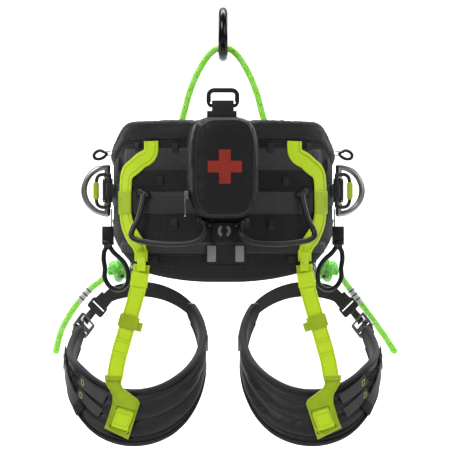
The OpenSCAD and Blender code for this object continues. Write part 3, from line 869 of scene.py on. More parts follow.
def rim_ring(phi):
    a, b = pad_top(phi) + 0.7, belt_top(phi)
    h = b - a
    e = end_pull(phi)
    prof = [(0.6, 0), (2.0, 0.02), (2.7, 0.1), (3.0, 0.25), (3.0, 0.4), (2.9, 0.55), (2.2, 0.62),
        (1.9, 0.65), (2.1, 0.69), (2.2, 0.76),
            (1.4, 0.86), (-0.4, 0.94), (-3, 0.985), (-6.5, 1.0), (-10.5, 0.985), (-13.4, 0.93),
                (-14.9, 0.84), (-15.0, 0.7), (-14.4, 0.5),
            (-14.0, 0.2), (-13.9, 0.0), (-7, 0.0)]
    if e >= 1:
        return [belt_at(phi, o, a + h * t) for o, t in prof]
    return [belt_at(phi, -6 + (o + 6) * (0.4 + 0.6 * e), a + h * (0.5 + (t - 0.5) * (0.5 + 0.5 * e)))
        for o, t in prof]


rim_angles = steps(-PAD_END, -JOIN, 90) + steps(-JOIN, JOIN, 80)[1:-1] + steps(JOIN, PAD_END, 90)
rim_tree = stuffed([rim_ring(p) for p in belt_angles], rim_sewn, 3.0, 0.005)
rim_rings = [rim_ring(p) for p in rim_angles]
for phi, ring in zip(rim_angles, rim_rings):
    middle = sum(ring, Vector()) / len(ring)
    for j in range(1, len(ring) - 2):
        out = (ring[j] - middle).normalized()
        ring[j] = ring[j] + out * swell(rim_tree, ring[j], out, 2.2 * MM) * 0.8
rim = loft("belt_rim", rim_rings, "rim", "belt", ["upper_rim"], angle=60)


def binding_ring(phi):
    lo = belt_bottom(phi)
    e = end_pull(phi)
    mid = (lo + pad_top(phi)) / 2
    lo = mid + (lo - mid) * (0.55 + 0.45 * e)
    prof = [(-1.6, 9), (-0.9, 8.6), (-0.6, 5), (-1.2, 1.6), (-3.2, -0.1), (-6.4, -0.3), (-9.6, 0.3),
        (-11.6, 2), (-12, 5), (-12, 8.6), (-10.6, 8.8), (-6, 6)]
    return [belt_at(phi, o, lo + z) for o, z in prof]


loft("belt_edge_binding", [binding_ring(p) for p in belt_angles[2:-2]], "binding", "belt",
    angle=60)

WEB_ROWS = [(52, 64, 0, 34), (108, -3, 14, 34), (58, -72, 0, 18)]


def row_mid(row, phi):
    return row[1] + row[2] * ease((abs(phi) - 36) / 18)


def row_rings(row):
    """A wide sewn-on band with rounded ends and soft folds between its seams."""
    reach, width = row[0], row[3]
    rings = []
    for phi in steps(-reach, reach, 220):
        left = (reach - abs(phi)) * metric(phi)
        half_w = width / 2 * (1 if left > 6 else math.sqrt(max(0.05, 1 - (1 - left / 6) ** 2)))
        mid = row_mid(row, phi)
        fold = 0.55 + 0.3 * math.sin(phi * 0.9 + row[1]) * math.sin(phi * 0.37)
        ring = []
        cols = 16
        for k in range(cols + 1):
            t = 2 * k / cols - 1
            seam = 0.55 * math.exp(-((abs(t) - 0.86) * half_w / 0.8) ** 2)
            ring.append(belt_at(phi, 1.2 + fold * (1 - t**4) - seam - 0.4 * (abs(t) > 0.99), mid
                + t * half_w))
        for k in range(6 + 1):
            ring.append(belt_at(phi, 0.15, mid + (1 - 2 * k / 6) * half_w))
        rings.append(ring)
    return rings


many("load_webbing_rows", [row_rings(r) for r in WEB_ROWS], "row", "belt", ["load_webbing"],
    angle=60)

row_threads = []
for row in WEB_ROWS:
    for edge in (-0.86, 0.86):
        line = [belt_at(p, 1.45, row_mid(row, p) + edge * row[3] / 2)
            for p in steps(1 - row[0], row[0] - 1, 120)]
        row_threads += stitch_parts(line, lambda f, r=row[0]: belt_out(-r + 2 * r * f), 0.0034, 0.0022)
many("row_stitching", row_threads, "grey_thread", "belt")

DAISY = [(17.5, 81, 10, 16), (23.5, 30, 10, 14), (18, -36, 11, 18), (25.6, -90, 11, 10), (35, 84, 9, 12),
    (62, 57, 9, 20)]


def daisy_rings(phi, z, w, h):
    """A short loop of webbing that stands off the belt, sewn down at its top and bottom."""
    half_angle = w / 2 / metric(phi)
    rings = []
    for k in range(13):
        t = k / 12
        lift = 1.0 + 1.5 * math.sin(math.pi * t) ** 0.6
        zz = z + h / 2 - h * t
        ring = [belt_at(phi - half_angle + 2 * half_angle * j / 4, lift + 1.1, zz) for j in range(5)]
        ring += [belt_at(phi + half_angle - 2 * half_angle * j / 4, lift, zz) for j in range(5)]
        rings.append(ring)
    return rings


many("daisy_webbing", [daisy_rings(s * p, z, w, h) for s in (-1, 1) for p, z, w, h in DAISY], "black_web",
    "belt", ["daisy_loops"])

YOKE = [(27, 92, 25), (27, 80, 25), (27.4, 73, 25), (28.8, 67.5, 26), (31.4, 62.5, 26), (34.5, 57.5, 27),
    (38.2, 53, 27), (41.8, 49.5, 27),
        (45.2, 45, 28), (47.4, 39, 28), (48.4, 31, 28), (49, 18, 28), (49, 4, 28), (49, -15, 28),
            (47, -33, 28), (41, -52, 27), (34.5, -65, 25),
        (31.5, -78, 23), (31, -92, 21)]


def belt_strap_rings(points, inner, outer, cols=12, lip=0.0):
    """A strap on the belt through [length along it, height, width], with folded bands at both edges."""
    rings, lines = [], {-1: [], 1: []}
    for i, p in enumerate(points):
        q = points[min(i + 1, len(points) - 1)] - points[max(i - 1, 0)]
        run = Vector((q.x, q.y)).normalized()

        def at(s, off):
            a = s * p.z / 2
            return belt_at(belt_phi(p.x + run.y * a), off, p.y - run.x * a)

        ring = [at(2 * k / cols - 1, inner + (0.4 if k in (0, cols) else 0)) for k in range(cols + 1)]
        for k in range(cols, -1, -1):
            s = 2 * k / cols - 1
            ring.append(at(s, outer - (0.45 if k in (0, cols) else 0) + lip * (0.6 < abs(s) < 0.97)))
        rings.append(ring)
        for s in (-1, 1):
            lines[s].append(at(s * 0.57, outer + 0.15))
    return rings, lines


TONGUE = [(-125.9, -94.5, -80), (-125.8, -97, -88), (-125.3, -103.4, -95), (-125.2, -105, -101),
    (-125.3, -105.2, -108)]


def make_yoke(side, mir):
    s = -1 if side == "left" else 1
    pts = spline([Vector((s * belt_run(p), z, w)) for p, z, w in YOKE], 8)
    rings, lines = belt_strap_rings(pts, 2.2, 3.8, 20, 1.0)
    tongue = strap_rings(spline([V(*p) for p in TONGUE], 6), Vector((-0.35, -1, 0.2)), 14 * MM, 1.8 * MM,
        8, 0.0003)
    low_end = [belt_phi(belt_run(31) + q) for q in steps(-11.5, 11.5, 8)]
    fold = [[belt_at(s * p, 4.1, z) for p in low_end] + [belt_at(s * p, 5.9, z) for p in reversed(low_end)]
        for z in steps(-76, -93, 6)]
    many(f"yoke_webbing_{side}", [rings, sided(tongue, side, mir), turned(fold, side)], "lime_web", "belt",
         [f"yoke_strap_{side}"], angle=50)
    threads = []
    for k in (-1, 1):
        threads += stitch_parts(lines[k], lambda f: belt_out(s * (27 + 16 * ease(f * 2))), 0.0034, 0.001,
            0.00055)
    for z in (-78, -91):
        threads += stitch_parts([belt_at(s * p, 6.0, z) for p in low_end[1:-1]],
            lambda f: belt_out(s * 31), 0.003, 0.0012, 0.0004)
    many(f"yoke_stitching_{side}", threads, "dark_thread", "belt")
    # the sleeve that holds the strap down
    rings = []
    for z in steps(16, -20, 18):
        e = 1.0 if -19.5 < z < 15.5 else 0.5
        roll = 0.5 * math.exp(-((z - 13.5) / 1.5) ** 2) + 0.5 * math.exp(-((z + 17.5) / 1.5) ** 2)
        ring = [belt_at(s * p, 4.35, z) for p in steps(40.4, 57.6, 16)]
        ring += [belt_at(s * p, 4.4 + (2.0 * e + roll) * min(1, 0.35 + 3 * min(p - 40.4, 57.6 - p) / 4), z)
            for p in reversed(steps(40.4, 57.6, 16))]
        rings.append(ring)
    loft(f"yoke_sleeve_{side}", turned(rings, side), "sleeve_web", "belt", [f"yoke_keeper_{side}"],
        angle=50)
    threads = []
    oval = [(53.2 + 1.5 * math.cos(a), -2 + 9 * math.sin(a)) for a in steps(0, 2 * math.pi, 36)]
    threads += stitch_parts([belt_at(s * p, 6.5, z) for p, z in oval], lambda f: belt_out(s * 53), 0.002,
        0.0008)
    for z in (14, -18):
        threads += stitch_parts([belt_at(s * p, 6.5, z) for p in steps(42, 56, 10)],
            lambda f: belt_out(s * (42 + 14 * f)))
    many(f"yoke_sleeve_tack_{side}", threads, "dark_thread", "belt")


both(make_yoke)


def patch_rings(phi0, phi1, z0, z1, inner, outer, cols=10, rows=10, round_by=2.0):
    """A rounded panel on the belt."""
    rings = []
    for z in [z0, z0 + 0.6, z0 + 1.6] + steps(z0 + 3, z1 - 3, rows) + [z1 - 1.6, z1 - 0.6, z1]:
        d = min(z - z0, z1 - z)
        cut = round_by - math.sqrt(max(0, round_by**2 - max(0, round_by - d) ** 2)) if d < round_by else 0
        k = cut / metric(phi0)
        a, b = phi0 + k, phi1 - k
        thin = 0.35 if d < 0.3 else 0.0
        ring = [belt_at(p, inner, z) for p in steps(a, b, cols)]
        ring += [belt_at(p, outer - thin - (0.3 if j in (0, cols) else 0), z) for j,
            p in enumerate(reversed(steps(a, b, cols)))]
        rings.append(list(reversed(ring)))
    return rings


many("size_label_plate", [patch_rings(-6.5, 8.5, -95, -67, 2.15, 3.8, round_by=3)], "label", "belt",
    ["size_label"])
many("size_label_fields", [patch_rings(a, a + 3.1, -93, -68.5, 3.7, 4.25, round_by=0.8)
    for a in (-5.6, 4.5)],
     "reflective", "belt")
many("tag_panel", [patch_rings(-3.8, 4.8, -62, -33, 0.4, 2.7, round_by=5)], "black_plastic", "belt",
    ["tag_pocket"])
arcs = []
for r in (6.0, 7.6, 9.2):
    for a0, a1 in ((120, 240), (-60, 60)):
        path = [belt_at(0.5 + r * cosd(a) / metric(0), 2.85, -46 + r * sind(a)) for a in steps(a0, a1, 14)]
        arcs.append(tube_rings(path, 0.32 * MM, 6))
many("tag_icon", arcs, "white_print", "belt")


# ---------- gear loops ----------
REAR_OUTER, REAR_INNER = (-121, -102, 12), (-26, -136, -34)
REAR_LOOP = [REAR_OUTER, (-124, -106, -6), (-130, -110, -28), (-138, -113, -43), (-140, -117, -53),
    (-131, -124, -60), (-108, -135, -64),
             (-78, -144, -66), (-48, -149, -64), (-33, -149, -57), (-26, -144, -47), REAR_INNER]
SIDE_LOOP = [(-187, 14, -72.5), (-191, 14, -80), (-192, 14, -92), (-190, 14, -106), (-190, 14, -122),
    (-182, 14, -136), (-168, 14, -141),
             (-156, 14, -134), (-152, 14, -119), (-156, 14, -103), (-165, 14, -91), (-175, 14, -82),
                 (-182, 14, -72.5)]


def make_gear_loops(side, mir):
    path = [mir(p) for p in spline([V(*p) for p in REAR_LOOP], 8)]
    axis = (V(*REAR_INNER) - V(*REAR_OUTER)).normalized()
    parts = [round_ends(path, 4.45 * MM, 20)]
    for e in (REAR_OUTER, REAR_INNER):
        a, b = mir(V(*e) - axis * 6 * MM), mir(V(*e) + axis * 6 * MM)
        parts.append(round_ends([a, (a + b) / 2, b], 4.6 * MM, 20))
    many(f"rear_gear_tube_{side}", parts, "rubber", f"rear_gear_loop_{side}", [f"rear_gear_loop_{side}"],
        60)
    path = [mir(p) for p in spline([V(*p) for p in SIDE_LOOP], 8)]
    a, b = mir(V(-191.8, 14, -66)), mir(V(-178.2, 14, -66))
    barrel = [a.lerp(b, t) for t in steps(0, 1, 8)]
    parts = [tube_rings(path, 4.0 * MM, 20), tube_rings(barrel,
        lambda t: (7.9 - 0.9 * abs(2 * t - 1) ** 4) * MM, 24)]
    many(f"side_gear_tube_{side}", parts, "rubber", f"side_gear_loop_{side}", [f"side_gear_loop_{side}"],
        60)


both(make_gear_loops)


# ---------- D-rings, brackets, tool loops and cords ----------
D_POS, TOOL_POS, CORD_POS = (-185.5, 8, 18.5), (-179, -34, 17), (-185, -11, 77)


def wrap_rings(mir, centre, bar_r, gap, thick, reach, height, spread=0.0, flat=False):
    """Webbing that comes off the belt, goes round an upright bar and back."""
    cx, cy, cz = centre
    r = bar_r + gap + thick / 2
    pts = [(cx + reach, cy - r - spread), (cx + reach * 0.5, cy - r)]
    pts += [(cx + r * cosd(a), cy + r * sind(a)) for a in steps(270, 90, 16)]
    pts += [(cx + reach * 0.5, cy + r), (cx + reach, cy + r + spread)]
    if flat:
        path = [mir(V(x, cy, cz + y - cy)) for x, y in pts]
    else:
        path = [mir(V(x, y, cz)) for x, y in pts]
    up = Vector((0, 1, 0)) if flat else Vector((0, 0, 1))
    rings = []
    for i, p in enumerate(path):
        t = tangent(path, i)
        n = up.cross(t).normalized()
        rings.append(strap_ring(p, up, n, height * MM, thick * MM, 10, 0.0003))
    return rings


def make_d(side, mir):
    parts = [wrap_rings(mir, D_POS, 5, 0.35, 2.8, 8.2, 38), wrap_rings(mir, TOOL_POS, 3, 0.35, 2.2, 5.0,
        22),
             wrap_rings(mir, CORD_POS, 2, 0.3, 1.4, 6.4, 7, flat=True)]
    many(f"d_ring_webbing_{side}", parts, "black_web", "belt", [f"d_ring_bracket_{side}"])
    threads = []
    for dz in (-16.5, 16.5):
        pts = [mir(V(D_POS[0] + 8.3 * cosd(a), D_POS[1] + 8.3 * sind(a), D_POS[2] + dz))
            for a in steps(250, 110, 20)]
        threads += stitch_parts(pts, lambda f: mir(Vector((cosd(250 - 140 * f), sind(250 - 140 * f), 0))))
    many(f"d_ring_threads_{side}", threads, "lime_thread", "belt")
    frame["nodes"][f"d_ring_{side}"].data.materials.clear()
    frame["nodes"][f"d_ring_{side}"].data.materials.append(M["alu"])
    loop = [mir(V(*TOOL_POS) + V(*p)) for p in spline_mm([(0, 0, 24), (-10, 0, 26), (-18, 0, 23),
        (-21, 0, 14), (-21.5, 0, 0), (-21, 0, -14), (-18, 0, -23),
                                                   (-10, 0, -26), (0, 0, -24)], 8)]
    bar = [mir(V(*TOOL_POS) + V(0, 0, z)) for z in steps(24, -24, 12)]
    many(f"tool_loop_cord_{side}", [round_ends(loop, 2.95 * MM, 16), tube_rings(bar, 2.95 * MM, 16)],
        "cord", f"tool_loop_{side}", [f"tool_loop_{side}"],
         60)
    tube = [mir(V(*TOOL_POS) + V(-21.4, 0, z)) for z in steps(13.5, -13.5, 14)]
    loft(f"tool_sleeve_{side}", tube_rings(tube, lambda t: (4.7
        - 1.1 * max(0, abs(2 * t - 1) - 0.85) / 0.15) * MM, 24), "lime_plastic",
         f"tool_loop_{side}", [f"tool_loop_sleeve_{side}"], angle=50)
    cord = spline_mm([(-185, -17.6, 77), (-189.8, -17, 79.3), (-195, -13, 81.5), (-201, -11, 80),
        (-205.5, -11, 75), (-204, -11, 69.5), (-198, -11, 68),
                      (-192, -8.2, 70), (-187.8, -4.6, 73.6), (-185, -4.4, 77)], 8)
    hinge = [mir(V(-185, y, 77)) for y in (-17.6, -15, -11, -7, -4.4)]
    many(f"accessory_loop_{side}", [tube_rings([mir(V(*p)) for p in cord],
        lambda t: (1.95 + 0.75 * ease(min(t, 1 - t) * 6)) * MM, 12), round_ends(hinge, 1.95 * MM, 12)],
        "cord", f"accessory_cord_{side}",
         [f"accessory_cord_{side}"], 60)


def spline_mm(points, k):
    return [tuple(p) for p in spline(points, k)]


both(make_d)


# ---------- front of the belt ----------
def make_hip(side, mir):
    path = spline([V(-168.6, 38, -20), V(-167, 50, -44), V(-157, 74, -66), V(-151, 90, -84),
        V(-149, 98, -97)], 6)
    faces = spline([(-0.9, 0.42, 0), (-0.88, 0.45, 0.05), (-0.8, 0.58, 0.1), (-0.7, 0.6, 0.2),
        (-0.7, 0.6, 0.3)], 6)
    widths = [w.x for w in spline([Vector((w, 0, 0)) for w in (46, 36, 27, 20, 14)], 6)]
    rings = [[mir(q) for q in r] for r in strap_rings(path, [-f for f in faces], [w * MM for w in widths],
        2.8 * MM, 10, 0.0003)]
    loft(f"hip_strap_{side}", turned(rings, side), "grey_web", "belt", [f"hip_webbing_{side}"])
    beveled(f"bridge_eye_metal_{side}", f"bridge_eye_{side}", "steel", 0.0006)


both(make_hip)

front = []
for side in SIDES:
    mir = placer(side)
    path = [mir(p) for p in spline([V(-149.5, 66, -2), V(-128, 78, -12), V(-98, 87.5, -20),
        V(-70, 92, -22), V(-42.5, 93, -22)], 8)]
    front.append(strap_rings(path, Vector((-0.25 if side == "left" else 0.25, 1, 0)), 44 * MM, 2.5 * MM,
        12, 0.0003))
many("front_straps", front, "grey_web", "belt", ["front_webbing"])
beveled("buckle_housing", "belt_buckle_female", "dark_metal", 0.0012)
beveled("buckle_tongue", "belt_buckle_male", "dark_metal", 0.0010)
beveled("buckle_lever_top", "belt_buckle_lever_upper", "steel", 0.0005)
beveled("buckle_lever_bottom", "belt_buckle_lever_lower", "steel", 0.0005)
beveled("ring_body", "bridge_ring", "black_metal", 0.0006)
beveled("gear_loop_holders", "gear_loop_tabs", "black_plastic", 0.0007)


# ---------- first aid pouch ----------
PW, PH, PD, P_BACK, P_Z = 102, 150, 46, -131, 49
P_FRONT = P_BACK - PD
P_HALF = [(0.3, 1), (0.52, 0.985), (0.72, 0.93), (0.87, 0.82), (0.96, 0.66), (1, 0.46), (1, 0), (1, -0.42),
    (0.97, -0.62), (0.88, -0.8), (0.72, -0.94),
          (0.52, -0.99), (0.3, -1)]
P_LOOP = list(reversed(P_HALF + [(0, -1)] + [(-x, z) for x, z in reversed(P_HALF)] + [(0, 1)]))
P_PROFILE = [(0.90, 0.94, 0, -130.8), (0.94, 0.96, 0, P_BACK), (0.99, 0.99, 0, -133), (1, 1, 0, -136),
    (1, 1, 0, -144), (1, 1, 0, -153), (1, 1, 0, -161),
             (0.99, 0.995, 0.6, -166), (0.965, 0.985, 1.6, -170.5), (0.92, 0.97, 2.6, -174),
                 (0.87, 0.95, 3.2, -176), (0.80, 0.91, 3.5, P_FRONT)]
P_PROFILE += [(0.80 * k, 0.91 * k, 3.5, P_FRONT - 0.2) for k in (0.88, 0.74, 0.6, 0.45, 0.3, 0.14)]


def pouch_outline(wide, tall, shift, y, k=5):
    """The bag's outline at one depth: rounded shoulders and a narrower foot."""
    n = len(P_LOOP)
    pts = [V(x * PW / 2 * wide + shift, y, P_Z + z * PH / 2 * tall) for x, z in P_LOOP]
    out = []
    for i in range(n):
        a, b, c, d = (pts[(i + m) % n] for m in (-1, 0, 1, 2))
        for j in range(k):
            t = j / k
            out.append(0.5 * (2 * b + (c - a) * t + (2 * a - 5 * b + 4 * c - d) * t * t
                + (3 * b - a - 3 * c + d) * t**3))
    return out


pouch_rings = [pouch_outline(*p) for p in P_PROFILE]
pouch_tree = stuffed(pouch_rings, lambda p: p.y > (P_BACK - 5) * MM
    or (abs(p.y - P_BACK * MM + 0.044) < 0.0016 and abs(p.x - 0.0035) > 0.036), 4.5, 0.005)
for i, ring in enumerate(pouch_rings):
    middle = sum(ring, Vector()) / len(ring)
    face = ease((i - 6) / 4)
    for j, p in enumerate(ring):
        side_out = (p - middle).normalized()
        out = (side_out * (1 - face) + Vector((0, -1, 0)) * face).normalized()
        ring[j] = p + out * swell(pouch_tree, p, out, (0.8 + 1.9 * face) * MM)
pouch = loft("pouch_shell", pouch_rings, "pouch", "pouch", ["pouch_body"], angle=70)
pouch_skin = BVHTree.FromPolygons([v.co.copy() for v in pouch.data.vertices],
    [tuple(p.vertices) for p in pouch.data.polygons])


def on_front(x, z, lift):
    """The point on the bag's front at x and z, lifted off the cloth."""
    hit = pouch_skin.ray_cast(V(x, -230, z), Vector((0, 1, 0)))
    return V(x, P_FRONT, z) + Vector((0, -lift * MM, 0)) if hit[0] is None else hit[0] + hit[1] * (lift * MM)


CX, CZ, ARM, WIDE = 3.0, 50, 25.5, 8.75


def make_plus():
    """A plain plus, its cells lying on the cloth and its rim folded down to it."""
    lines = steps(-ARM, -WIDE, 6) + steps(-WIDE, WIDE, 6)[1:] + steps(WIDE, ARM, 6)[1:]
    verts, at, faces, uses = [], {}, [], {}

    def vert(i, k, lift):
        key = (i, k, lift)
        if key not in at:
            at[key] = len(verts)
            verts.append(on_front(CX + lines[i], CZ + lines[k], lift))
        return at[key]

    for i in range(len(lines) - 1):
        for k in range(len(lines) - 1):
            x, z = (lines[i] + lines[i + 1]) / 2, (lines[k] + lines[k + 1]) / 2
            if abs(x) < WIDE or abs(z) < WIDE:
                corners = [(i, k), (i + 1, k), (i + 1, k + 1), (i, k + 1)]
                faces.append([vert(a, b, 0.7) for a, b in corners])
                for m in range(4):
                    edge = (corners[m], corners[(m + 1) % 4])
                    uses[edge] = uses.get(edge, 0) + 1
    for a, b in uses:
        if (b, a) not in uses:
            faces.append([vert(*b, 0.7), vert(*a, 0.7), vert(*a, -0.5), vert(*b, -0.5)])
    finish_piece("pouch_plus", verts, faces, "red_print", "pouch", angle=50)


make_plus()

piping = []
for p in pouch_outline(0.84, 0.93, 3.4, P_FRONT, 6):
    hit = pouch_skin.find_nearest(p)
    piping.append(hit[0] + (hit[0] - V(3.5, P_BACK, P_Z)).normalized() * 0.0004)
piping = resample(piping + [piping[0]], 0.004)[:-1]
loft("pouch_piping_cord", tube_rings(piping, 0.95 * MM, 10, (0, 1, 0)), "piping", "pouch",
    caps=False, loop=True, angle=70)

# the zip runs over the bag's top and down both sides to ZIP_LOW, at the depth ZIP_Y
ZIP_Y, ZIP_LOW, TOOTH_PITCH = -152, 6, 0.0024
zip_centre = V(0, ZIP_Y, P_Z)
zip_spots = [p for p in pouch_outline(1, 1, 0, ZIP_Y, 8) if p.z > ZIP_LOW * MM]
zip_spots.sort(key=lambda p: math.atan2(p.x - zip_centre.x, p.z - zip_centre.z))
zip_line = resample([pouch_skin.find_nearest(p)[0] for p in zip_spots], TOOTH_PITCH)


def zip_out(p):
    d = p - zip_centre
    return Vector((d.x, 0, d.z * 0.7)).normalized()


def zip_normal(i):
    """The direction out of the bag at one place of the zip."""
    n = tangent(zip_line, i).cross(DEPTH)
    return n.normalized() if n.dot(zip_out(zip_line[i])) > 0 else -n.normalized()


tape = []
for i, p in enumerate(zip_line):
    n = zip_normal(i)
    tape.append(strap_ring(p + n * 0.0002, DEPTH, n, 11 * MM, 0.9 * MM, 6))
TOOTH = ((-1.5, -0.6), (1.5, -0.6), (1.5, 0.5), (0.9, 0.9), (-0.9, 0.9), (-1.5, 0.5))
teeth = []
for i in range(len(zip_line) - 1):
    a, b = zip_line[i], zip_line[i + 1]
    t = (b - a).normalized()
    n = t.cross(DEPTH)
    n = n.normalized() if n.dot(zip_out(a)) > 0 else -n.normalized()
    side = 0.7 if i % 2 else -0.7
    c = (a + b) / 2 + n * 0.0009 + DEPTH * side * MM
    teeth.append([[c + t * (f * MM) + DEPTH * (p * MM) + n * (q * MM) for p, q in TOOTH]
        for f in (-0.75, 0.75)])
many("pouch_zip_tape", [tape], "zip_tape", "pouch")
many("pouch_zip_teeth", teeth, "grey_thread", "pouch", angle=30)

beveled("pouch_handle_ring", "pouch_handle", "black_plastic", 0.0009)
beveled("pouch_hanger_web", "pouch_hanger", "black_web", 0.0004)
beveled("zip_slider_metal", "zip_slider", "steel", 0.0004)
beveled("zip_pull_metal", "zip_pull", "steel", 0.0004)


# ---------- leg loops ----------
LEG_MID, LEG_A, LEG_B, LEG_SLOPE, LEG_T = (-138, -5, -237), 112, 85, 1.11, 11


def outer_drop(theta):
    d = theta + 360 if theta < -90 else theta
    return 26 * ease((d - 110) / 35) * (1 - ease((d - 165) / 60))


def leg_normal(theta):
    x, y = cosd(theta) / LEG_A, sind(theta) / LEG_B
    return Vector((x, y, 0)).normalized()


def leg_at(theta, off, up):
    c, s = cosd(theta), sind(theta)
    n = leg_normal(theta)
    y = LEG_B * s
    return V(LEG_MID[0] + LEG_A * c + off * n.x, LEG_MID[1] + y + off * n.y, LEG_MID[2] + LEG_SLOPE * y
        + up - outer_drop(theta))


def leg_width(theta):
    return 87 - 52 * ease((abs(theta + 90) - 30) / 105)


def pad_drop(theta):
    return -4 * cosd(theta + 90)


SEAMS = (-1.0, -0.7, -0.1, 0.5, 0.77, 1.0)
PAD_START, PAD_STOP = -212, 40


def leg_pad_ring(theta, face, cols=46):
    """The pad's outline at one angle; face(share, half width) is how far out its outside lies."""
    w, d = leg_width(theta) / 2, pad_drop(theta)
    end = min(theta - PAD_START, PAD_STOP - theta) * 1.7
    e = 1.0 if end > 22 else math.sqrt(max(0.0, 1 - (1 - end / 22) ** 2))
    w *= 0.35 + 0.65 * e
    ring = []
    for k in range(cols + 1):
        s = 2 * k / cols - 1
        ring.append(leg_at(theta, face(s, w) - 3.2 * abs(s) ** 12, s * w * 0.992 + d))
    ring.append(leg_at(theta, -4.5, w + d))
    ring.append(leg_at(theta, -7, w + d))
    for k in range(14 + 1):
        s = 1 - 2 * k / 14
        ring.append(leg_at(theta, -LEG_T + 1.6 * abs(s) ** 6 - 0.7 * (1 - s**4), s * w * 0.985 + d))
    ring.append(leg_at(theta, -7, -w + d))
    ring.append(leg_at(theta, -4.5, -w + d))
    return ring


def pillow(s):
    """0 at the seams, 1 midway between two of them."""
    for a, b in zip(SEAMS, SEAMS[1:]):
        if a <= s <= b:
            return math.sin(math.pi * (s - a) / (b - a)) ** 0.6
    return 0.0


def leg_place(p):
    """Angle, share of the half width and offset of a point on or near the left leg loop."""
    x, y = p.x / MM - LEG_MID[0], p.y / MM - LEG_MID[1]
    theta, off = math.atan2(y / LEG_B, x / LEG_A), 0.0
    for _ in range(3):
        n = leg_normal(math.degrees(theta))
        foot = Vector((LEG_A * math.cos(theta), LEG_B * math.sin(theta), 0))
        off = (Vector((x, y, 0)) - foot).dot(n)
        theta = math.atan2((y - off * n.y) / LEG_B, (x - off * n.x) / LEG_A)
    deg = math.degrees(theta)
    deg = deg - 360 if deg > 100 else deg
    up = p.z / MM - (LEG_MID[2] + LEG_SLOPE * LEG_B * math.sin(theta) - outer_drop(deg)) - pad_drop(deg)
    return deg, up / (leg_width(deg) / 2), off


def pad_sewn(p):
    deg, s, off = leg_place(p)
    w = leg_width(deg) / 2
    return off < -5.5 or abs(s) * w > w - 4 or any(abs(s - c) * w < 2.6
        for c in SEAMS) or deg < PAD_START + 7 or deg > PAD_STOP - 7


PAD_COLS = 46
pad_angles = steps(PAD_START, PAD_STOP, 190)
pad_tree = stuffed([leg_pad_ring(t, lambda s, w: -1.8, 20) for t in steps(PAD_START, PAD_STOP, 80)],
    pad_sewn, 4.0, 0.0045)
puffs = []
for theta in pad_angles:
    w, d = leg_width(theta) / 2, pad_drop(theta)
    shares = steps(-1, 1, PAD_COLS)
    puffs.append([swell(pad_tree, leg_at(theta, -1.8, s * w * 0.992 + d), leg_normal(theta), 2.4 * MM) / MM
        if abs(s) < 0.97 else 0.0 for s in shares])
for _ in range(3):
    puffs = [[(2 * puffs[i][k] + puffs[max(i - 1, 0)][k] + puffs[min(i + 1, len(puffs) - 1)][k]
        + puffs[i][max(k - 1, 0)] + puffs[i][min(k + 1, PAD_COLS)]) / 6
              for k in range(PAD_COLS + 1)] for i in range(len(puffs))]
PAD_RINGS = []
for theta, row in zip(pad_angles, puffs):

    def face(s, w, row=row):
        puff = row[round((s + 1) / 2 * PAD_COLS)]
        groove = sum(1.5 * math.exp(-(((s - c) * w) / 1.2) ** 2) for c in SEAMS[1:-1])
        return min(0.9, -2.3 + 1.3 * pillow(s) + puff) - groove

    PAD_RINGS.append(leg_pad_ring(theta, face))


def edge_tape_ring(theta, sign):
    """The tape folded over the pad's upper or lower edge."""
    w, d = leg_width(theta) / 2, pad_drop(theta)
    prof = [(-0.2, 6.5), (0.3, 6), (0.4, 3), (-1.0, 0.4), (-3.4, -0.9), (-7.6, -0.9), (-10.2, 0.4),
        (-11.8, 3), (-11.8, 6.5), (-6, 5)]
    ring = [leg_at(theta, o - 0.4, sign * (w - z) + d) for o, z in prof]
    return ring if sign > 0 else list(reversed(ring))


def on_leg(theta, off, x, out, z):
    """A place beside a buckle plate: x along the loop, out of its face, z across it."""
    along = (leg_at(theta + 1, off, 0) - leg_at(theta - 1, off, 0)).normalized()
    outward = leg_normal(theta)
    return leg_at(theta, off, 0) + (along * x + outward * out + outward.cross(along) * z) * MM


def pad_strap(points, width, thick, mir, k=8):
    """A strap lying on the pad through places given as [angle, offset, height]."""
    path, normals = [], []
    for t, off, up in spline([Vector(p) for p in points], k):
        path.append(mir(leg_at(t, off, up)))
        normals.append(mir(leg_normal(t)))
    return strap_rings(path, normals, width * MM, thick * MM, 8, 0.0003)


def inset(outline, d):
    """A closed flat outline moved inwards by d, with mitred corners."""
    area2 = sum(a[0] * b[1] - b[0] * a[1] for a, b in zip(outline, outline[1:] + outline[:1]))
    turn = 1 if area2 > 0 else -1
    out = []
    for i, p in enumerate(outline):
        a, b = Vector(outline[i - 1]), Vector(outline[(i + 1) % len(outline)])
        e0, e1 = (Vector(p) - a).normalized(), (b - Vector(p)).normalized()
        n0, n1 = Vector((-e0.y, e0.x)) * turn, Vector((-e1.y, e1.x)) * turn
        m = (n0 + n1).normalized()
        out.append(Vector(p) + m * (d / max(0.5, m.dot(n0))))
    return out


def chaikin(pts, times):
    """A closed line whose corners are cut, as many times as asked."""
    for _ in range(times):
        out = []
        for a, b in zip(pts, pts[1:] + pts[:1]):
            out += [a.lerp(b, 0.25), a.lerp(b, 0.75)]
        pts = out
    return pts


RISER_W = 25
RISER = [(-125, -98, -98), (-128, -99.5, -122), (-135, -101, -152), (-145, -101, -186), (-155, -101, -220),
    (-162, -99, -246), (-167, -97.5, -274)]
FORK = [(-183, -268), (-181, -281), (-168, -303), (-177, -334), (-183, -350), (-146, -368), (-128, -312),
    (-131, -306), (-154, -289), (-157, -282), (-155, -272)]


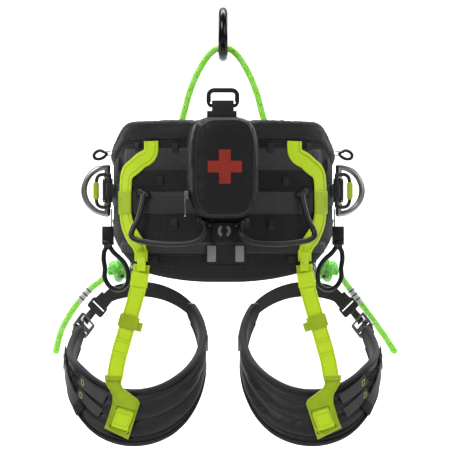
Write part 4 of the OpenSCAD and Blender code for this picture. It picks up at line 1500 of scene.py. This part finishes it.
def make_leg(side, mir):
    body = f"leg_{side}"
    pad = loft(f"leg_padding_{side}", sided(PAD_RINGS, side, mir), "leg", body, [f"leg_pad_{side}"],
        angle=70)
    tapes = [turned([[mir(q) for q in edge_tape_ring(t, sign)]
        for t in steps(PAD_START + 7, PAD_STOP - 7, 150)], side) for sign in (1, -1)]
    many(f"leg_edge_binding_{side}", tapes, "binding", body, angle=60)
    d = (V(-168, 78, -122) - V(-125, -98, -98)).normalized()

    parts = []
    for a, b in ((6, 122), (142, 188)):
        rings = [[mir(q) for q in strap_ring(leg_at(t, 1.6, 0), Vector((0, 0, 1)), leg_normal(t), 25 * MM,
            2.1 * MM, 12, 0.0003)] for t in steps(a, b, 60)]
        parts.append(turned(rings, side))
    for theta, width, wrap in ((140, 26, [(26, -2.9), (20, -1.6), (16.9, 1.2), (13, 2.5), (9.6, 2.3),
        (8, 0), (8.6, -2.2), (12, -3), (24, -3.3)]),
                               (126, 25, [(-24, -2.9), (-16, -1.6), (-12, 1.2), (-8.4, 2.5), (-5.6, 2.3),
                                   (-4, 0), (-4.6, -2.2), (-8, -3), (-20, -3.3)])):
        path = spline([on_leg(theta, 5.4, x, o, 0) for x, o in wrap], 4)
        across = (on_leg(theta, 5.4, 0, 0, 1) - on_leg(theta, 5.4, 0, 0, 0)).normalized()
        rings = []
        for i, p in enumerate(path):
            n = across.cross(tangent(path, i)).normalized()
            rings.append([mir(q) for q in strap_ring(p, across, n, width * MM, 1.5 * MM, 10, 0.0002)])
        parts.append(turned(rings, side))
    bar = [mir(V(-168, 78, -122) + d * k * MM) for k in (-10, -5, 0, 5, 10)]
    parts.append(round_ends(bar, 3.9 * MM, 16))
    many(f"leg_webbing_{side}", parts, "strap_web", body, [f"leg_strap_{side}"])

    grey = [pad_strap([(-139, 1.7, 22), (-126, 1.7, 20), (-113, 1.7, 17)], 16, 1.8, mir),
        pad_strap([(-141, 1.7, 0), (-129, 1.7, -3), (-117, 1.7, -7)], 15, 1.8, mir)]
    many(f"leg_side_tabs_{side}", [turned(r, side) for r in grey], "light_web", body)
    tail = [pad_strap([(-186, 2.2, 16), (-172, 2.2, 8), (-156, 2.2, -8), (-138, 2.2, -25)], 18, 2.0, mir)]
    many(f"leg_strap_tail_{side}", [turned(r, side) for r in tail], "strap_web", body)
    keep = [pad_strap([(-143, 2.6, -20), (-140, 2.6, -23.5), (-137, 2.6, -26.5)], 23, 4.2, mir, 3),
            pad_strap([(-178, 2.6, 12), (-175, 2.6, 10.5), (-172, 2.6, 8.5)], 23, 4.2, mir, 3)]
    many(f"leg_tail_keepers_{side}", [turned(r, side) for r in keep], "black_plastic", body)
    zigzag = [mir(leg_at(-176 + 3.4 * k, 1.5, 21 - 1.1 * k + (4.5 if k % 2 else -4.5))) for k in range(10)]
    many(f"leg_elastic_{side}", [round_ends(resample(zigzag, 0.0015), 0.95 * MM, 8)], "black_web", body)
    tack = []
    for t0, up0 in ((-135, 21), (-137, -1)):
        box = [mir(leg_at(t0 + a, 2.75, up0 + b)) for a, b in ((-1.3, -4), (1.3, -4), (1.3, 4), (-1.3, 4),
            (-1.3, -4))]
        tack += stitch_parts(resample(box, 0.001), lambda f, t0=t0: mir(leg_normal(t0)), 0.0016, 0.0005)
    many(f"leg_tacks_{side}", tack, "lime_thread", body)
    beveled(f"leg_buckle_plate_{side}", f"leg_buckle_frame_{side}", "steel", 0.0009)
    beveled(f"leg_buckle_tongue_{side}", f"leg_buckle_tee_{side}", "dark_metal", 0.0008)

    # the riser, its sleeve and its sewn-on patch
    path = spline([V(*p) for p in RISER], 10)
    face_out = Vector((0, -1, 0))
    parts = [strap_rings(path, face_out, RISER_W * MM, 2.1 * MM, 16, 0.0004)]
    parts.append(strap_rings([V(-126.6, -100.4, -110), V(-127.8, -100.7, -117), V(-129, -101, -126),
        V(-130, -101.2, -132)], face_out, (RISER_W + 2) * MM, 5 * MM, 12))
    fore = Vector((0, -1.7 * MM, 0))
    patch = [p + fore for p in path if -238 * MM < p.z < -211 * MM]
    parts.append(strap_rings(patch, face_out, 25.6 * MM, 1.7 * MM, 14))
    top = V(-125, -99.6, -98)
    parts.append(round_ends([top + d * k * MM for k in (-4, -1, 2, 5)], 3.9 * MM, 16))
    many(f"leg_riser_web_{side}", [sided(part, side, mir) for part in parts], "lime_web", body,
        [f"leg_riser_{side}"])
    threads = []
    run = (patch[-1] - patch[0]).normalized()
    wide = run.cross(face_out).normalized()
    c = (patch[0] + patch[-1]) / 2 + Vector((0, -0.85 * MM, 0))
    half_l = (patch[-1] - patch[0]).length / 2 - 0.0035
    box = resample([c + run * a * half_l + wide * b * 10 * MM for a,
        b in ((-1, -1), (1, -1), (1, 1), (-1, 1), (-1, -1))], 0.001)
    threads += stitch_parts([mir(p) for p in box], lambda f: Vector((0, -1, 0)), 0.003, 0.0014, 0.0004)
    for b in (-1, 1):
        line = [p + (path[-1] - path[0]).normalized().cross(face_out).normalized() * b * 9.6 * MM
            + Vector((0, -1.2 * MM, 0)) for p in path if p.z < -134 * MM]
        threads += stitch_parts([mir(p) for p in line], lambda f: Vector((0, -1, 0)), 0.003, 0.0016, 0.0003)
    many(f"leg_riser_stitching_{side}", threads, "dark_thread", body)

    # the fork with its raised border, its webbing and its clamp
    beveled(f"leg_fork_moulding_{side}", f"leg_fork_{side}", "lime_plastic", 0.0011)
    border = [mir(V(p.x, -95.5, p.y)) for p in chaikin(inset(FORK, 1.7), 3)]
    bead = tube_rings(resample(border + [border[0]], 0.0022)[:-1], 1.25 * MM, 8, (0, 1, 0))
    loft(f"leg_fork_border_{side}", bead, "lime_plastic", body, caps=False,
        loop=True, angle=70)
    web = spline([V(-150, -90.4, -322), V(-150.2, -94.6, -323.2), V(-151.2, -97.0, -327),
        V(-155, -97.3, -337), V(-158.8, -97.0, -347), V(-159.8, -94.6, -350.6),
                  V(-160, -90.4, -352)], 6)
    tilt = math.radians(-18)
    side_way = Vector((math.cos(tilt), 0, math.sin(tilt)))
    rings = []
    for i, p in enumerate(web):
        n = side_way.cross(tangent(web, i)).normalized()
        rings.append([mir(q) for q in strap_ring(p, side_way, n, 26.5 * MM, 1.5 * MM, 12, 0.0003)])
    backing = []
    for cx, cz, turn in ((-150, -322, -15), (-160, -352, -22)):
        way = Vector((cosd(turn), 0, sind(turn)))
        up = Vector((-way.z, 0, way.x))
        backing.append([[mir(V(cx, -93.2 + dy, cz) + (way * a * 15.4 + up * b * 3.2) * MM) for a,
            b in ((-1, -1), (1, -1), (1, 1), (-1, 1))] for dy in (1.2, 0)])
    many(f"leg_fork_slots_{side}", [turned(b, side) for b in backing], "lime_plastic", body,
        angle=30)
    clamp = strap_rings([V(-182, -97.3, -271.8), V(-176, -97.3, -272), V(-162, -97.3, -272.4),
        V(-156, -97.3, -272.6)], face_out, 8 * MM, 3.4 * MM, 8)
    many(f"leg_fork_web_{side}", [turned(rings, side)], "lime_web", body)
    many(f"leg_fork_clamp_{side}", [sided(clamp, side, mir)], "lime_plastic", body)
    down = Vector((-10, 0, -30)).normalized()
    line = [V(-155, -98.2, -337) + (down * (a * 9.5) + side_way * (b * 10.5)) * MM for a,
        b in ((-1, -1), (-1, 1), (1, 1), (1, -1), (-1, -1))]
    many(f"leg_fork_stitching_{side}", stitch_parts(resample([mir(p) for p in line], 0.001),
        lambda f: Vector((0, -1, 0)), 0.0028, 0.0014, 0.0003), "dark_thread", body)
    beveled(f"riser_slider_{side}", f"riser_adjuster_{side}", "lime_plastic", 0.0011)


both(make_leg)


# ---------- floor, backdrop and light ----------
FLOOR_NEAR, FLOOR_Z, WALL_Y, WALL_TOP = -6.0, -1.15, 4.6, 7.0
SWEEP_R, SWEEP_Y, SWEEP_Z, HALF_FLOOR = 1.4, 3.2, 0.25, 9


def make_backdrop():
    """A floor that sweeps up into a wall."""
    sweep = [(SWEEP_Y + SWEEP_R * sind(a), SWEEP_Z - SWEEP_R * cosd(a)) for a in steps(0, 90, 18)]
    prof = [(FLOOR_NEAR, FLOOR_Z)] + sweep + [(WALL_Y, WALL_TOP)]
    verts = [Vector((x, y, z)) for x in (-HALF_FLOOR, HALF_FLOOR) for y, z in prof]
    n = len(prof)
    faces = [(i, i + 1, n + i + 1, n + i) for i in range(n - 1)]
    me = bpy.data.meshes.new("floor")
    me.from_pydata(verts, [], faces)
    for p in me.polygons:
        p.use_smooth = True
    n2 = Nodes("floor_paint", (0.9, 0.9, 0.9), 0.8)
    n2.color(n2.ramp(n2.noise(n2.coords("Object"), 3, 2), [(0.3, (0.9, 0.9, 0.9)),
        (0.7, (0.93, 0.93, 0.93))]))
    me.materials.append(n2.mat)
    ob = bpy.data.objects.new("floor", me)
    bpy.context.scene.collection.objects.link(ob)


make_backdrop()


def area(name, location, target, size, power):
    data = bpy.data.lights.new(name, "AREA")
    data.energy = power
    data.size = size
    ob = bpy.data.objects.new(name, data)
    ob.location = location
    ob.rotation_euler = (Vector(target) - Vector(location)).to_track_quat("-Z", "Y").to_euler()
    bpy.context.scene.collection.objects.link(ob)


area("key", (-1.5, -2.3, 1.9), (0, 0, -0.05), 1.2, 62)
area("fill", (1.9, -2.2, 0.9), (0, 0, -0.05), 1.6, 26)
area("rim_left", (-2.2, 1.2, 1.0), (0, 0, 0), 1.2, 30)
area("rim_right", (2.2, 1.2, 1.0), (0, 0, 0), 1.2, 30)
area("wall_wash", (0, 1.2, 3.2), (0, 4.4, 0.4), 3.0, 420)
WORLD_LIGHT = 0.16
world = bpy.data.worlds.new("studio")
world.use_nodes = True
world.node_tree.nodes["Background"].inputs[0].default_value = (1, 1, 1, 1)
world.node_tree.nodes["Background"].inputs[1].default_value = WORLD_LIGHT
bpy.context.scene.world = world
